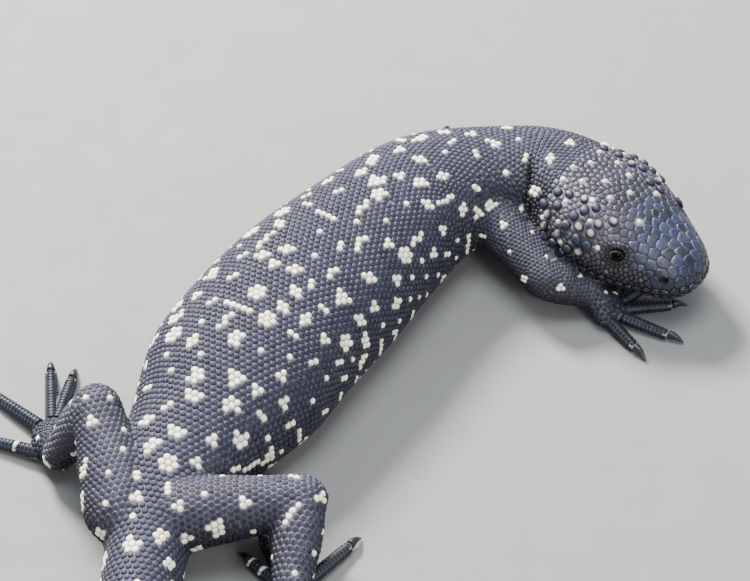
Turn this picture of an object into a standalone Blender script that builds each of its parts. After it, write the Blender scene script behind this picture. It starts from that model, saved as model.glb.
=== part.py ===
"""A beaded lizard, life size, standing still on a floor with its trunk bent to the right.

Units are metres and +Z is up. The floor is z = 0, and the origin lies on it under the
middle of the trunk. +X runs to the right and +Y away from someone who looks at the
lizard from its right hind side.

The trunk, neck, head and tail are one loft along a spine, parted into lengths. Limbs are
lofts with round ends, each carved by what it grows from. Feet are a sole with five toes
fused on, and every claw is a piece of its own.
"""
import math
import random

import bmesh
import bpy
from mathutils import Matrix, Vector

# Space left between two pieces that touch.
GAP = 0.0003

# Lengths along the spine, measured forward of the middle of the trunk.
SNOUT_TIP = 0.252
HEAD_BASE = 0.176
NECK_BASE = 0.142
CHEST_BASE = 0.066
LOIN_BASE = -0.052
VENT = -0.136
TAIL_LENGTH = 0.292
TAIL_TIP = VENT - TAIL_LENGTH
TAIL_PARTS = 4

# Degrees from +X that the body faces, by distance along the spine.
HEADINGS = (
    (TAIL_TIP, 28.0),
    (-0.330, 45.0),
    (-0.230, 76.0),
    (VENT, 86.0),
    (-0.090, 65.0),
    (-0.040, 62.0),
    (0.020, 54.0),
    (0.080, 50.0),
    (0.115, 23.0),
    (0.150, -5.0),
    (HEAD_BASE, -41.0),
    (0.190, -42.0),
    (SNOUT_TIP, -42.0),
)

# Half the body's width, by distance along the spine.
HALF_WIDTHS = (
    (TAIL_TIP, 0.0066),
    (-0.380, 0.0090),
    (-0.300, 0.0130),
    (-0.210, 0.0158),
    (VENT, 0.0176),
    (-0.112, 0.0240),
    (-0.080, 0.0300),
    (-0.030, 0.0430),
    (0.020, 0.0425),
    (0.070, 0.0370),
    (0.110, 0.0325),
    (0.145, 0.0270),
    (HEAD_BASE, 0.0285),
    (0.196, 0.0322),
    (0.210, 0.0300),
    (0.224, 0.0256),
    (0.237, 0.0200),
    (SNOUT_TIP, 0.0145),
)

# Height of the back above the floor, by distance along the spine.
BACK_HEIGHTS = (
    (TAIL_TIP, 0.0126),
    (-0.380, 0.0180),
    (-0.300, 0.0268),
    (-0.210, 0.0334),
    (VENT, 0.0385),
    (-0.090, 0.0460),
    (-0.030, 0.0560),
    (0.030, 0.0590),
    (0.090, 0.0570),
    (0.140, 0.0535),
    (HEAD_BASE, 0.0550),
    (0.198, 0.0540),
    (0.216, 0.0482),
    (0.234, 0.0400),
    (SNOUT_TIP, 0.0335),
)

# Height of the underside. Below zero, the floor cuts it flat.
BELLY_HEIGHTS = (
    (TAIL_TIP, -0.0006),
    (VENT, -0.0012),
    (-0.080, -0.0022),
    (0.030, -0.0030),
    (0.090, -0.0012),
    (0.130, 0.0045),
    (HEAD_BASE, 0.0105),
    (0.200, 0.0118),
    (0.225, 0.0120),
    (SNOUT_TIP, 0.0150),
)

# How square the section is: 2 is an ellipse.
SECTION_POWERS = (
    (TAIL_TIP, 2.0),
    (VENT, 2.1),
    (0.000, 2.3),
    (0.140, 2.2),
    (0.200, 2.5),
    (SNOUT_TIP, 2.3),
)

# The widest level of a section, as a share of its height.
WAIST_SHARE = 0.44

# Lengths over which the snout and the tail's end round off.
SNOUT_ROUND = 0.011
TAIL_ROUND = 0.007

# Steps along the spine and round the body.
BODY_STEP = 0.0068
BODY_SIDES = 36
TAIL_STEP = 0.0072
TAIL_SIDES = 18
HEAD_STEP = 0.0056

# How deep the ground between the raised beads lies. The underside stays smooth.
BEAD_DEPTH = 0.0016
SMOOTH_BELOW = 0.010

# The mouth line in the head's side profile: distance behind the snout, height.
MOUTH_LINE = (
    (0.000, 0.0212),
    (0.010, 0.0202),
    (0.026, 0.0190),
    (0.038, 0.0200),
    (0.0475, 0.0232),
)
MOUTH_CORNER = 0.0475
JAW_HINGE_BACK = 0.056
BELOW_HEAD = -0.010

# The lips: height above the mouth line and how far each level stands out from the head.
LIP_LEVELS = ((-0.0048, 0.0), (-0.0018, 0.0007), (0.0, -0.0007), (0.0018, 0.0009), (0.0050, 0.0))
LIP_FADE = 0.008
LIP_ROOM = 0.007
SIDES_BELOW_LIPS = 3
SIDES_ABOVE_LIPS = 7

# Eyes, nostrils and ears: distance behind the snout and height above the floor.
EYE_BACK = 0.0305
EYE_HEIGHT = 0.0375
EYE_RADIUS = 0.0031
EYE_SUNK = 0.70
SOCKET_ROOM = 0.0004
LID_WIDTH = 0.0042
LID_HEIGHT = 0.0031
LID_THICKNESS = 0.0011
UPPER_LID_SHARE = 1.25
LID_PLACES = 14
LID_SIDES = 5
NOSTRIL_BACK = 0.0088
NOSTRIL_HEIGHT = 0.0295
NOSTRIL_RADII = (0.0016, 0.0012, 0.0022)
EAR_BACK = 0.0580
EAR_HEIGHT = 0.0290
EAR_WIDTH = 0.0013
EAR_LENGTH = 0.0034

# The head's large domed scales, in rows from the brow to the nape: where the rows start and
# end behind the snout, their spacing, the domes' radii and how much of each is sunk.
BOSS_FRONT = 0.0165
BOSS_END = 0.0705
BOSS_SPACING = 0.0088
BOSS_ABOVE_MOUTH = 0.0078
BOSS_RADIUS_TEMPLE = 0.0031
BOSS_RADIUS_CROWN = 0.0026
BOSS_SUNK = 0.36
CROWN_REACH = 0.11
EYE_ROOM = 0.0078
EAR_ROOM = 0.0056
BOSS_SEED = 9

# Colours and finish read from the photograph.
FINISHES = {
    "hide": ((0.058, 0.057, 0.080, 1.0), 0.55),
    "head_hide": ((0.045, 0.050, 0.075, 1.0), 0.42),
    "claw": ((0.018, 0.019, 0.024, 1.0), 0.30),
    "eye": ((0.010, 0.008, 0.008, 1.0), 0.10),
}


def clear_scene():
    for obj in list(bpy.data.objects):
        bpy.data.objects.remove(obj, do_unlink=True)


def material(name):
    """The Principled material of that finish, made on first use."""
    made = bpy.data.materials.get(name)
    if made is None:
        colour, roughness = FINISHES[name]
        made = bpy.data.materials.new(name)
        made.use_nodes = True
        shader = made.node_tree.nodes["Principled BSDF"]
        shader.inputs["Base Color"].default_value = colour
        shader.inputs["Roughness"].default_value = roughness
        shader.inputs["Metallic"].default_value = 0.0
        made.diffuse_color = colour
    return made


def smooth_value(table, at):
    """The table's value at a place, on a curve that never overshoots its points."""
    if at <= table[0][0]:
        return table[0][1]
    if at >= table[-1][0]:
        return table[-1][1]
    last = len(table) - 1
    index = next(i for i in range(last) if at <= table[i + 1][0])

    def slope(i):
        return (table[i + 1][1] - table[i][1]) / (table[i + 1][0] - table[i][0])

    def tangent(i):
        if i == 0:
            return slope(0)
        if i == last:
            return slope(last - 1)
        before, after = slope(i - 1), slope(i)
        return 0.0 if before * after <= 0 else 2 * before * after / (before + after)

    (x0, y0), (x1, y1) = table[index], table[index + 1]
    width = x1 - x0
    t = (at - x0) / width
    return (
        y0 * (1 + 2 * t) * (1 - t) ** 2
        + tangent(index) * width * t * (1 - t) ** 2
        + y1 * t * t * (3 - 2 * t)
        + tangent(index + 1) * width * t * t * (t - 1)
    )


def round_off(distance, length):
    """Share of full size at a distance from a round end of that length."""
    if distance >= length:
        return 1.0
    rest = 1 - max(distance, 0.0) / length
    return math.sqrt(max(1 - rest * rest, 0.0))


class Spine:
    """The plan line that the body follows over the floor, through the origin at distance 0."""

    step = 0.001

    def __init__(self):
        self.ahead = self.trace(SNOUT_TIP, 1)
        self.behind = self.trace(-TAIL_TIP, -1)

    def heading(self, distance):
        return math.radians(smooth_value(HEADINGS, distance))

    def trace(self, length, way):
        point, points = Vector((0, 0, 0)), [Vector((0, 0, 0))]
        for i in range(math.ceil(length / self.step) + 1):
            angle = self.heading(way * (i + 0.5) * self.step)
            point = point + Vector((math.cos(angle), math.sin(angle), 0)) * (way * self.step)
            points.append(point)
        return points

    def point(self, distance):
        points = self.ahead if distance >= 0 else self.behind
        place = min(abs(distance) / self.step, len(points) - 1.001)
        low = int(place)
        return points[low].lerp(points[low + 1], place - low)

    def forward(self, distance):
        angle = self.heading(distance)
        return Vector((math.cos(angle), math.sin(angle), 0))

    def left(self, distance):
        angle = self.heading(distance)
        return Vector((-math.sin(angle), math.cos(angle), 0))


SPINE = Spine()


def signed_power(value, power):
    return math.copysign(abs(value) ** power, value)


def section_size(distance):
    """Half width, underside and back of the section at a distance along the spine."""
    ends = round_off(SNOUT_TIP - distance, SNOUT_ROUND) * round_off(
        distance - TAIL_TIP, TAIL_ROUND
    )
    back = smooth_value(BACK_HEIGHTS, distance)
    belly = smooth_value(BELLY_HEIGHTS, distance)
    waist = belly + (back - belly) * WAIST_SHARE
    half = smooth_value(HALF_WIDTHS, distance) * ends
    return half, waist + (belly - waist) * ends, waist, waist + (back - waist) * ends


def hide_point(distance, turn, grow=0.0):
    """A point on the hide. turn is 0 under the belly, a quarter on the right, half on the back."""
    half, belly, waist, back = section_size(distance)
    power = 2 / smooth_value(SECTION_POWERS, distance)
    angle = 2 * math.pi * turn
    side = -signed_power(math.sin(angle), power) * (half + grow)
    rise = -signed_power(math.cos(angle), power)
    height = waist + rise * ((back - waist + grow) if rise > 0 else (waist - belly + grow))
    point = SPINE.point(distance) + SPINE.left(distance) * side
    floor = -grow
    return Vector((point.x, point.y, max(height, floor)))


def even_ring(distance, sides, grow=0.0, lows=None):
    """Points evenly spaced round the section, starting under the belly.

    lows is 0 or 1, and sinks every second point between the raised beads.
    """
    fine = 8 * sides
    points = [hide_point(distance, i / fine, grow) for i in range(fine + 1)]
    runs = [0.0]
    for a, b in zip(points, points[1:]):
        runs.append(runs[-1] + (b - a).length)
    middle = SPINE.point(distance) + Vector((0, 0, section_size(distance)[2]))
    ring, low = [], 0
    for i in range(sides):
        want = runs[-1] * i / sides
        while runs[low + 1] < want:
            low += 1
        share = (want - runs[low]) / max(runs[low + 1] - runs[low], 1e-9)
        point = points[low].lerp(points[low + 1], share)
        if lows is not None and i % 2 == lows:
            point = sunk(point, middle)
        ring.append(point)
    return ring


def sunk(point, middle):
    """The point moved inwards by the depth between beads, less and less towards the floor."""
    share = min(max(point.z / SMOOTH_BELOW - 0.4, 0.0), 1.0)
    return point + (middle - point).normalized() * (BEAD_DEPTH * share)


def spaced(start, end, step):
    """Places from start to end in even steps no longer than step."""
    count = max(1, math.ceil((end - start) / step - 1e-6))
    return [start + (end - start) * i / count for i in range(count + 1)]


def link(name, mesh, finish):
    obj = bpy.data.objects.new(name, mesh)
    bpy.context.scene.collection.objects.link(obj)
    mesh.materials.clear()
    mesh.materials.append(material(finish))
    mesh.shade_smooth()
    mesh.set_sharp_from_angle(angle=math.radians(50))
    return obj


def loft(name, rings, finish="hide"):
    """A closed object through rings of equally many points, with its two ends filled."""
    bm = bmesh.new()
    rows = [[bm.verts.new(point) for point in ring] for ring in rings]
    count = len(rows[0])
    for row, after in zip(rows, rows[1:]):
        for i in range(count):
            j = (i + 1) % count
            bm.faces.new((row[i], row[j], after[j], after[i]))
    for row in (rows[0], rows[-1]):
        centre = bm.verts.new(sum((v.co for v in row), Vector()) / count)
        for i in range(count):
            bm.faces.new((row[i], row[(i + 1) % count], centre))
    bmesh.ops.recalc_face_normals(bm, faces=bm.faces)
    bmesh.ops.triangulate(bm, faces=bm.faces)
    mesh = bpy.data.meshes.new(name)
    bm.to_mesh(mesh)
    bm.free()
    return link(name, mesh, finish)


def body_length(name, start, end, step, sides, finish="hide"):
    """The stretch of the body between two distances along the spine, beaded between its ends."""
    places = spaced(start, end, step)
    inner = range(1, len(places) - 1)
    rings = [even_ring(s, sides, lows=i % 2 if i in inner else None) for i, s in enumerate(places)]
    return loft(name, rings, finish)


def apply_modifiers(obj):
    graph = bpy.context.evaluated_depsgraph_get()
    mesh = bpy.data.meshes.new_from_object(obj.evaluated_get(graph))
    obj.modifiers.clear()
    obj.data = mesh


def keep_largest(obj):
    """Drops every loose surface but the largest."""
    bm = bmesh.new()
    bm.from_mesh(obj.data)
    bm.verts.ensure_lookup_table()
    left, groups = set(bm.verts), []
    while left:
        stack, group = [left.pop()], []
        while stack:
            vert = stack.pop()
            group.append(vert)
            for edge in vert.link_edges:
                other = edge.other_vert(vert)
                if other in left:
                    left.remove(other)
                    stack.append(other)
        groups.append(group)
    groups.sort(key=len)
    loose = [vert for group in groups[:-1] for vert in group]
    bmesh.ops.delete(bm, geom=loose, context="VERTS")
    bm.to_mesh(obj.data)
    bm.free()


def combine(obj, others, operation):
    """Joins, cuts or crosses obj with the other closed objects, which are then removed."""
    group = bpy.data.collections.new(obj.name + "_tools")
    bpy.context.scene.collection.children.link(group)
    for other in others:
        group.objects.link(other)
    boolean = obj.modifiers.new("Boolean", "BOOLEAN")
    boolean.operation = operation
    boolean.operand_type = "COLLECTION"
    boolean.collection = group
    boolean.solver = "EXACT"
    bpy.context.view_layer.update()
    apply_modifiers(obj)
    keep_largest(obj)
    for other in list(group.objects):
        bpy.data.objects.remove(other, do_unlink=True)
    bpy.data.collections.remove(group)
    return obj


def copy_of(obj, name):
    twin = obj.copy()
    twin.data = obj.data.copy()
    twin.name = name
    bpy.context.scene.collection.objects.link(twin)
    return twin


def curve_point(points, share):
    """A point on a smooth curve through the points, share from 0 to 1 along it."""
    last = len(points) - 1
    place = min(max(share, 0.0), 1.0) * last
    i = min(int(place), last - 1)
    t = place - i
    p1, p2 = points[i], points[i + 1]
    p0 = points[i - 1] if i > 0 else p1 * 2 - p2
    p3 = points[i + 2] if i < last - 1 else p2 * 2 - p1
    return (
        p1 * 2
        + (p2 - p0) * t
        + (p0 * 2 - p1 * 5 + p2 * 4 - p3) * t * t
        + (p1 * 3 - p0 - p2 * 3 + p3) * t ** 3
    ) / 2


def curve_ahead(points, share):
    """The way along that curve at a share of it, which holds past both ends."""
    reach = 0.02
    middle = min(max(share, reach), 1 - reach)
    return (curve_point(points, middle + reach) - curve_point(points, middle - reach)).normalized()


def limb(name, points, sizes, rings, sides, grow=0.0, beads=False, finish="hide"):
    """A loft along a smooth curve, with round ends.

    sizes is a table of share along the curve and radius.
    """
    points = [Vector(p) for p in points]
    length = sum((b - a).length for a, b in zip(points, points[1:]))
    first, final = sizes[0][1] + grow, sizes[-1][1] + grow
    made = []
    for i in range(rings + 1):
        along = -first + (length + first + final) * (1 - math.cos(math.pi * i / rings)) / 2
        share = along / length
        ahead = curve_ahead(points, share)
        centre = curve_point(points, share) + ahead * (min(along, 0.0) + max(along - length, 0.0))
        radius = smooth_value(sizes, share) + grow
        if along < 0:
            radius *= math.sqrt(max(1 - (along / first) ** 2, 0.0))
        if along > length:
            radius *= math.sqrt(max(1 - ((along - length) / final) ** 2, 0.0))
        ring = circle(centre, ahead, max(radius, 0.0004), sides, -grow)
        if beads and 0 < share < 1:
            ring = [sunk(p, centre) if k % 2 == i % 2 else p for k, p in enumerate(ring)]
        made.append(ring)
    return loft(name, made, finish)


def circle(centre, ahead, radius, sides, floor, flat=1.0):
    """Points round a centre, square to a direction, and no lower than the floor."""
    across = ahead.cross(Vector((0, 0, 1)))
    if across.length < 0.2:
        across = ahead.cross(Vector((0, 1, 0)))
    across.normalize()
    up = across.cross(ahead).normalized()
    ring = []
    for i in range(sides):
        angle = 2 * math.pi * i / sides
        point = centre + (across * math.cos(angle) + up * (math.sin(angle) * flat)) * radius
        point.z = max(point.z, floor)
        ring.append(point)
    return ring


def head_point(back, side, height):
    """A point beside the head: distance behind the snout, to the left, above the floor."""
    distance = SNOUT_TIP - max(back, 0.0)
    ahead = SPINE.forward(distance) * max(-back, 0.0)
    point = SPINE.point(distance) + ahead + SPINE.left(distance) * side
    return Vector((point.x, point.y, height))


def facing_out(distance, turn):
    """A point of the hide and the way that it faces there."""
    here = hide_point(distance, turn)
    along = hide_point(distance + 0.001, turn) - hide_point(distance - 0.001, turn)
    round_way = hide_point(distance, turn + 0.002) - hide_point(distance, turn - 0.002)
    out = along.cross(round_way).normalized()
    waist = section_size(distance)[2]
    if out.dot(here - SPINE.point(distance) - Vector((0, 0, waist))) < 0:
        out.negate()
    return here, out


def turn_at(distance, height, side_sign):
    """How far round the section its surface reaches that height. side_sign 1 is left."""
    turns = [0.5 + side_sign * 0.5 * i / 200 for i in range(1, 200)]
    return min(turns, key=lambda t: abs(hide_point(distance, t).z - height))


def skin_at(back, height, side_sign):
    """The point of the head's hide at that height, and the way that it faces."""
    distance = SNOUT_TIP - back
    return facing_out(distance, turn_at(distance, height, side_sign))


def ball(name, centre, radii, turned, finish="hide", detail=2):
    """An ellipsoid whose three radii lie along the turned axes."""
    bm = bmesh.new()
    bmesh.ops.create_icosphere(bm, subdivisions=detail, radius=1.0)
    placed = Matrix.Translation(centre) @ turned.to_4x4() @ Matrix.Diagonal((*radii, 1.0))
    bmesh.ops.transform(bm, matrix=placed, verts=bm.verts)
    mesh = bpy.data.meshes.new(name)
    bm.to_mesh(mesh)
    bm.free()
    return link(name, mesh, finish)


def facing(out, up=Vector((0, 0, 1))):
    """Axes with X along the surface, Y up it and Z straight out."""
    z = out.normalized()
    x = up.cross(z).normalized()
    y = z.cross(x)
    return Matrix((x, y, z)).transposed()


def side_slab(name, outline):
    """A block through the head from side to side, with this outline in its side profile."""
    half = 0.05
    bm = bmesh.new()
    faces = [
        [bm.verts.new(head_point(back, side, height)) for back, height in outline]
        for side in (-half, half)
    ]
    for face in faces:
        bm.faces.new(face)
    count = len(outline)
    for i in range(count):
        j = (i + 1) % count
        bm.faces.new((faces[0][i], faces[0][j], faces[1][j], faces[1][i]))
    bmesh.ops.recalc_face_normals(bm, faces=bm.faces)
    mesh = bpy.data.meshes.new(name)
    bm.to_mesh(mesh)
    bm.free()
    return link(name, mesh, "hide")


def mouth_height(back):
    return smooth_value(MOUTH_LINE, back)


def jaw_outline(shift):
    """Side profile of what lies under the mouth line, with that line moved up by a shift."""
    places = spaced(-0.010, MOUTH_CORNER, 0.005)
    top = [(back, mouth_height(back) + shift) for back in places]
    corner = (MOUTH_CORNER + shift + GAP, mouth_height(MOUTH_CORNER) + shift)
    bottom = [(JAW_HINGE_BACK + shift + GAP, BELOW_HEAD), (places[0], BELOW_HEAD)]
    return top[:-1] + [corner] + bottom


def head_ring(distance):
    """The head's section with rows of points along the lips, from under the chin round the right."""
    back = SNOUT_TIP - distance
    fade = min(max((MOUTH_CORNER + LIP_FADE - back) / LIP_FADE, 0.0), 1.0)
    fine = 160
    side = [hide_point(distance, 0.5 * i / fine) for i in range(fine + 1)]
    runs = [0.0]
    for a, b in zip(side, side[1:]):
        runs.append(runs[-1] + (b - a).length)

    def place(run):
        low = min(next((i for i, r in enumerate(runs[1:]) if r >= run), fine - 1), fine - 1)
        share = (run - runs[low]) / max(runs[low + 1] - runs[low], 1e-9)
        return side[low].lerp(side[low + 1], share)

    def run_at(height):
        low = min(next((i for i, p in enumerate(side[1:]) if p.z >= height), fine - 1), fine - 1)
        share = (height - side[low].z) / max(side[low + 1].z - side[low].z, 1e-9)
        return runs[low] + (runs[low + 1] - runs[low]) * min(max(share, 0.0), 1.0)

    low_z, high_z = side[0].z, side[-1].z
    edge = (high_z - low_z) * 0.3
    middle = min(max(mouth_height(back), low_z + edge), high_z - edge)
    squeeze = min(1.0, (middle - low_z) / LIP_ROOM, (high_z - middle) / LIP_ROOM)
    levels = [(run_at(middle + rise * squeeze), out * fade * squeeze) for rise, out in LIP_LEVELS]
    rows = [(levels[0][0] * i / SIDES_BELOW_LIPS, 0.0) for i in range(SIDES_BELOW_LIPS)]
    rows += levels
    last = levels[-1][0]
    rows += [
        (last + (runs[-1] - last) * i / SIDES_ABOVE_LIPS, 0.0) for i in range(1, SIDES_ABOVE_LIPS + 1)
    ]
    axis = SPINE.point(distance) + Vector((0, 0, middle))
    right = []
    for run, out in rows:
        point = place(run)
        right.append(point + (point - axis).normalized() * out)
    spine, left = SPINE.point(distance), SPINE.left(distance)
    mirrored = []
    for point in reversed(right[1:-1]):
        side_way = (point - spine).dot(left)
        mirrored.append(point - left * (2 * side_way))
    return right + mirrored


def eyelids(name, side_sign):
    """The raised ring of both lids round one eye."""
    here, out = skin_at(EYE_BACK, EYE_HEIGHT, side_sign)
    axes = facing(out)
    bm = bmesh.new()
    rows = []
    for i in range(LID_PLACES):
        angle = 2 * math.pi * i / LID_PLACES
        middle = Vector((LID_WIDTH * math.cos(angle), LID_HEIGHT * math.sin(angle), 0.0))
        way = Vector((math.cos(angle), math.sin(angle), 0.0))
        thick = LID_THICKNESS * (UPPER_LID_SHARE if math.sin(angle) > 0 else 1.0)
        row = []
        for k in range(LID_SIDES):
            turn = 2 * math.pi * k / LID_SIDES
            local = middle + way * (thick * math.cos(turn)) + Vector((0, 0, thick * math.sin(turn)))
            row.append(bm.verts.new(here + axes @ local))
        rows.append(row)
    for i in range(LID_PLACES):
        for k in range(LID_SIDES):
            a, b = rows[i], rows[(i + 1) % LID_PLACES]
            m = (k + 1) % LID_SIDES
            bm.faces.new((a[k], a[m], b[m], b[k]))
    bmesh.ops.recalc_face_normals(bm, faces=bm.faces)
    mesh = bpy.data.meshes.new(name)
    bm.to_mesh(mesh)
    bm.free()
    return link(name, mesh, "head_hide")


def boss_turns(distance, odd):
    """Places for domed scales over the section, from lip to lip, a half step along in odd rows."""
    mouth = mouth_height(SNOUT_TIP - distance)
    start = turn_at(distance, mouth + BOSS_ABOVE_MOUTH, -1)
    end = turn_at(distance, mouth + BOSS_ABOVE_MOUTH, 1)
    fine = 120
    turns = [start + (end - start) * i / fine for i in range(fine + 1)]
    points = [hide_point(distance, t) for t in turns]
    runs = [0.0]
    for a, b in zip(points, points[1:]):
        runs.append(runs[-1] + (b - a).length)
    count = max(1, round(runs[-1] / BOSS_SPACING))
    shares = [(i + 0.5) / count for i in range(count)] if odd else [i / count for i in range(count + 1)]
    return [turns[min(range(fine + 1), key=lambda i: abs(runs[i] - runs[-1] * s))] for s in shares]


def head_bosses():
    """The large domed scales of crown and temples, clear of the eyes and ears."""
    rng = random.Random(BOSS_SEED)
    clear = []
    for sign in (1, -1):
        clear.append((skin_at(EYE_BACK, EYE_HEIGHT, sign)[0], EYE_ROOM))
        clear.append((skin_at(EAR_BACK, EAR_HEIGHT, sign)[0], EAR_ROOM))
    bosses = []
    for row, back in enumerate(spaced(BOSS_FRONT, BOSS_END, BOSS_SPACING * 0.87)):
        for turn in boss_turns(SNOUT_TIP - back, row % 2):
            here, out = facing_out(SNOUT_TIP - back, turn)
            crown = abs(turn - 0.5) < CROWN_REACH
            radius = (BOSS_RADIUS_CROWN if crown else BOSS_RADIUS_TEMPLE) * rng.uniform(0.88, 1.08)
            if all((here - centre).length > room for centre, room in clear):
                middle = here - out * (radius * BOSS_SUNK)
                bosses.append(ball("boss", middle, (radius,) * 3, facing(out), detail=1))
    return bosses


def make_head():
    """Head and lower jaw, parted at the mouth line, with eyes set in their sockets."""
    start = HEAD_BASE + GAP / 2
    straight = spaced(start, SNOUT_TIP - SNOUT_ROUND, HEAD_STEP)
    arc = 6
    nose = [
        SNOUT_TIP - SNOUT_ROUND * (1 - math.sin(0.5 * math.pi * i / arc)) for i in range(1, arc + 1)
    ]
    nose[-1] = SNOUT_TIP - SNOUT_ROUND * 0.004
    head = loft("head", [head_ring(s) for s in straight + nose], "head_hide")
    jaw = copy_of(head, "lower_jaw")
    combine(jaw, [side_slab("below_mouth", jaw_outline(-GAP / 2))], "INTERSECT")
    combine(head, [side_slab("mouth_cut", jaw_outline(GAP / 2))], "DIFFERENCE")
    combine(head, [eyelids("lids_" + str(sign), sign) for sign in (1, -1)] + head_bosses(), "UNION")
    cutters = []
    for sign in (1, -1):
        here, out = skin_at(EYE_BACK, EYE_HEIGHT, sign)
        centre = here - out * (EYE_RADIUS * EYE_SUNK)
        name = "eye_left" if sign > 0 else "eye_right"
        ball(name, centre, (EYE_RADIUS,) * 3, facing(out), "eye", 2)
        socket = EYE_RADIUS + SOCKET_ROOM
        cutters.append(ball("socket", centre, (socket,) * 3, facing(out), detail=2))
        here, out = skin_at(NOSTRIL_BACK, NOSTRIL_HEIGHT, sign)
        cutters.append(ball("nostril", here, NOSTRIL_RADII, facing(out), detail=1))
        here, out = skin_at(EAR_BACK, EAR_HEIGHT, sign)
        cutters.append(ball("ear", here, (EAR_WIDTH, EAR_LENGTH, EAR_WIDTH), facing(out), detail=1))
    combine(head, cutters, "DIFFERENCE")


def make_body():
    """The tail's lengths, the hips, loin, chest and neck."""
    for i in range(TAIL_PARTS):
        start = TAIL_TIP + TAIL_LENGTH * i / TAIL_PARTS
        end = TAIL_TIP + TAIL_LENGTH * (i + 1) / TAIL_PARTS
        first = start + (TAIL_ROUND * 0.01 if i == 0 else GAP / 2)
        if i == 0:
            cap = [first + TAIL_ROUND * (1 - math.cos(0.5 * math.pi * k / 4)) for k in range(4)]
            places = cap + spaced(first + TAIL_ROUND, end - GAP / 2, TAIL_STEP)
            loft("tail_" + str(TAIL_PARTS), [even_ring(s, TAIL_SIDES) for s in places])
        else:
            body_length("tail_" + str(TAIL_PARTS - i), first, end - GAP / 2, TAIL_STEP, TAIL_SIDES)
    bounds = (VENT, LOIN_BASE, CHEST_BASE, NECK_BASE, HEAD_BASE)
    names = ("hips", "trunk", "chest", "neck")
    for name, start, end in zip(names, bounds, bounds[1:]):
        body_length(name, start + GAP / 2, end - GAP / 2, BODY_STEP, BODY_SIDES)


# Each leg: where its joints lie, where its sole is and the way it faces, in degrees from +X.
# Toes, the inner one first: how far each turns from that way, its length, how far back its root is.
LEGS = {
    "hind_left": {
        "joints": ((-0.0650, -0.1070, 0.026), (-0.0769, -0.0643, 0.040), (-0.0950, -0.0650, 0.013)),
        "sole": (-0.1000, -0.0470),
        "faces": 105.0,
        "toes": (
            (44.0, 0.016, 0.0),
            (24.0, 0.025, 0.0),
            (9.0, 0.029, 0.0),
            (-33.0, 0.028, 0.0),
            (-54.0, 0.024, 0.014),
        ),
    },
    "hind_right": {
        "joints": ((-0.0385, -0.1105, 0.026), (0.0103, -0.1062, 0.030), (0.0066, -0.1490, 0.013)),
        "sole": (0.0070, -0.1370),
        "faces": 88.0,
        "toes": (
            (44.0, 0.016, 0.0),
            (24.0, 0.022, 0.0),
            (2.0, 0.027, 0.0),
            (-38.0, 0.026, 0.0),
            (-66.0, 0.022, 0.010),
        ),
    },
    "fore_left": {
        "joints": ((0.0700, 0.0920, 0.026), (0.0500, 0.1120, 0.017), (0.0600, 0.1270, 0.012)),
        "sole": (0.0700, 0.1310),
        "faces": 18.0,
        "toes": (
            (46.0, 0.014, 0.0),
            (22.0, 0.018, 0.0),
            (0.0, 0.020, 0.0),
            (-24.0, 0.019, 0.0),
            (-52.0, 0.014, 0.003),
        ),
    },
    "fore_right": {
        "joints": ((0.0945, 0.0715, 0.028), (0.1195, 0.0365, 0.019), (0.1420, 0.0335, 0.011)),
        "sole": (0.1480, 0.0290),
        "faces": 8.0,
        "toes": (
            (62.0, 0.013, 0.0),
            (36.0, 0.018, 0.0),
            (4.0, 0.020, 0.0),
            (-33.0, 0.019, 0.0),
            (-62.0, 0.014, 0.003),
        ),
    },
}

# Radii of the limbs by share of the way from one joint to the next.
LIMB_SIZES = {
    "hind": {
        "upper": ((0.0, 0.0165), (0.4, 0.0144), (0.8, 0.0120), (1.0, 0.0116)),
        "lower": ((0.0, 0.0112), (0.3, 0.0116), (0.7, 0.0092), (1.0, 0.0080)),
    },
    "fore": {
        "upper": ((0.0, 0.0140), (0.4, 0.0126), (0.8, 0.0108), (1.0, 0.0104)),
        "lower": ((0.0, 0.0098), (0.3, 0.0100), (0.7, 0.0080), (1.0, 0.0068)),
    },
}
LIMB_RINGS = 12
LIMB_SIDES = 14

# Toes: radius, the length hidden in the sole, and the radius and the height of the axis at root
# and end as shares of that radius. The end face is a little smaller than the ring before it.
TOE_RADIUS = 0.0031
TOE_ROOT = 0.008
TOE_START = 0.003
TOE_TAPER = (1.08, 0.90)
TOE_RISE = (1.75, 0.88)
TOE_FACE = 0.86
TOE_STEPS = 5
TOE_SIDES = 7

# Claws: how far they reach, their root's radius and their point's, the arch of their back and
# how far the point drops.
CLAW_LENGTH = 0.0078
CLAW_RADIUS = 0.0023
CLAW_POINT = 0.00022
CLAW_ARCH = 0.0008
CLAW_DROP = 0.0022
CLAW_LIFT = 0.0002
CLAW_STEPS = 4
CLAW_SIDES = 6

# The sole: height of its middle, reach in front of it, half widths from ankle to toes, and the
# height of its section as a share of its width at both ends.
SOLE_HEIGHT = 0.0062
SOLE_REACH = 0.004
SOLE_WIDTHS = ((0.0, 0.0086), (0.5, 0.0100), (1.0, 0.0112))
SOLE_FLATNESS = (0.95, 0.53)
SOLE_STEPS = 8
SOLE_SIDES = 12
ANKLE_DROP = Vector((0, 0, -0.002))

# How far feet reach under the floor before they are cut flat.
BELOW_FLOOR = -0.02

# The shape of the body that carves the legs: its steps, sides and how much larger it is.
CARVE_STEP = 0.005
CARVE_SIDES = 40
CARVE_GROW = 0.0006
HEAD_CLEARANCE = 0.0018


def leg_piece(name, ends, sizes, grow=0.0):
    return limb(name, ends, sizes, LIMB_RINGS, LIMB_SIDES, grow, beads=grow == 0.0)


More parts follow.
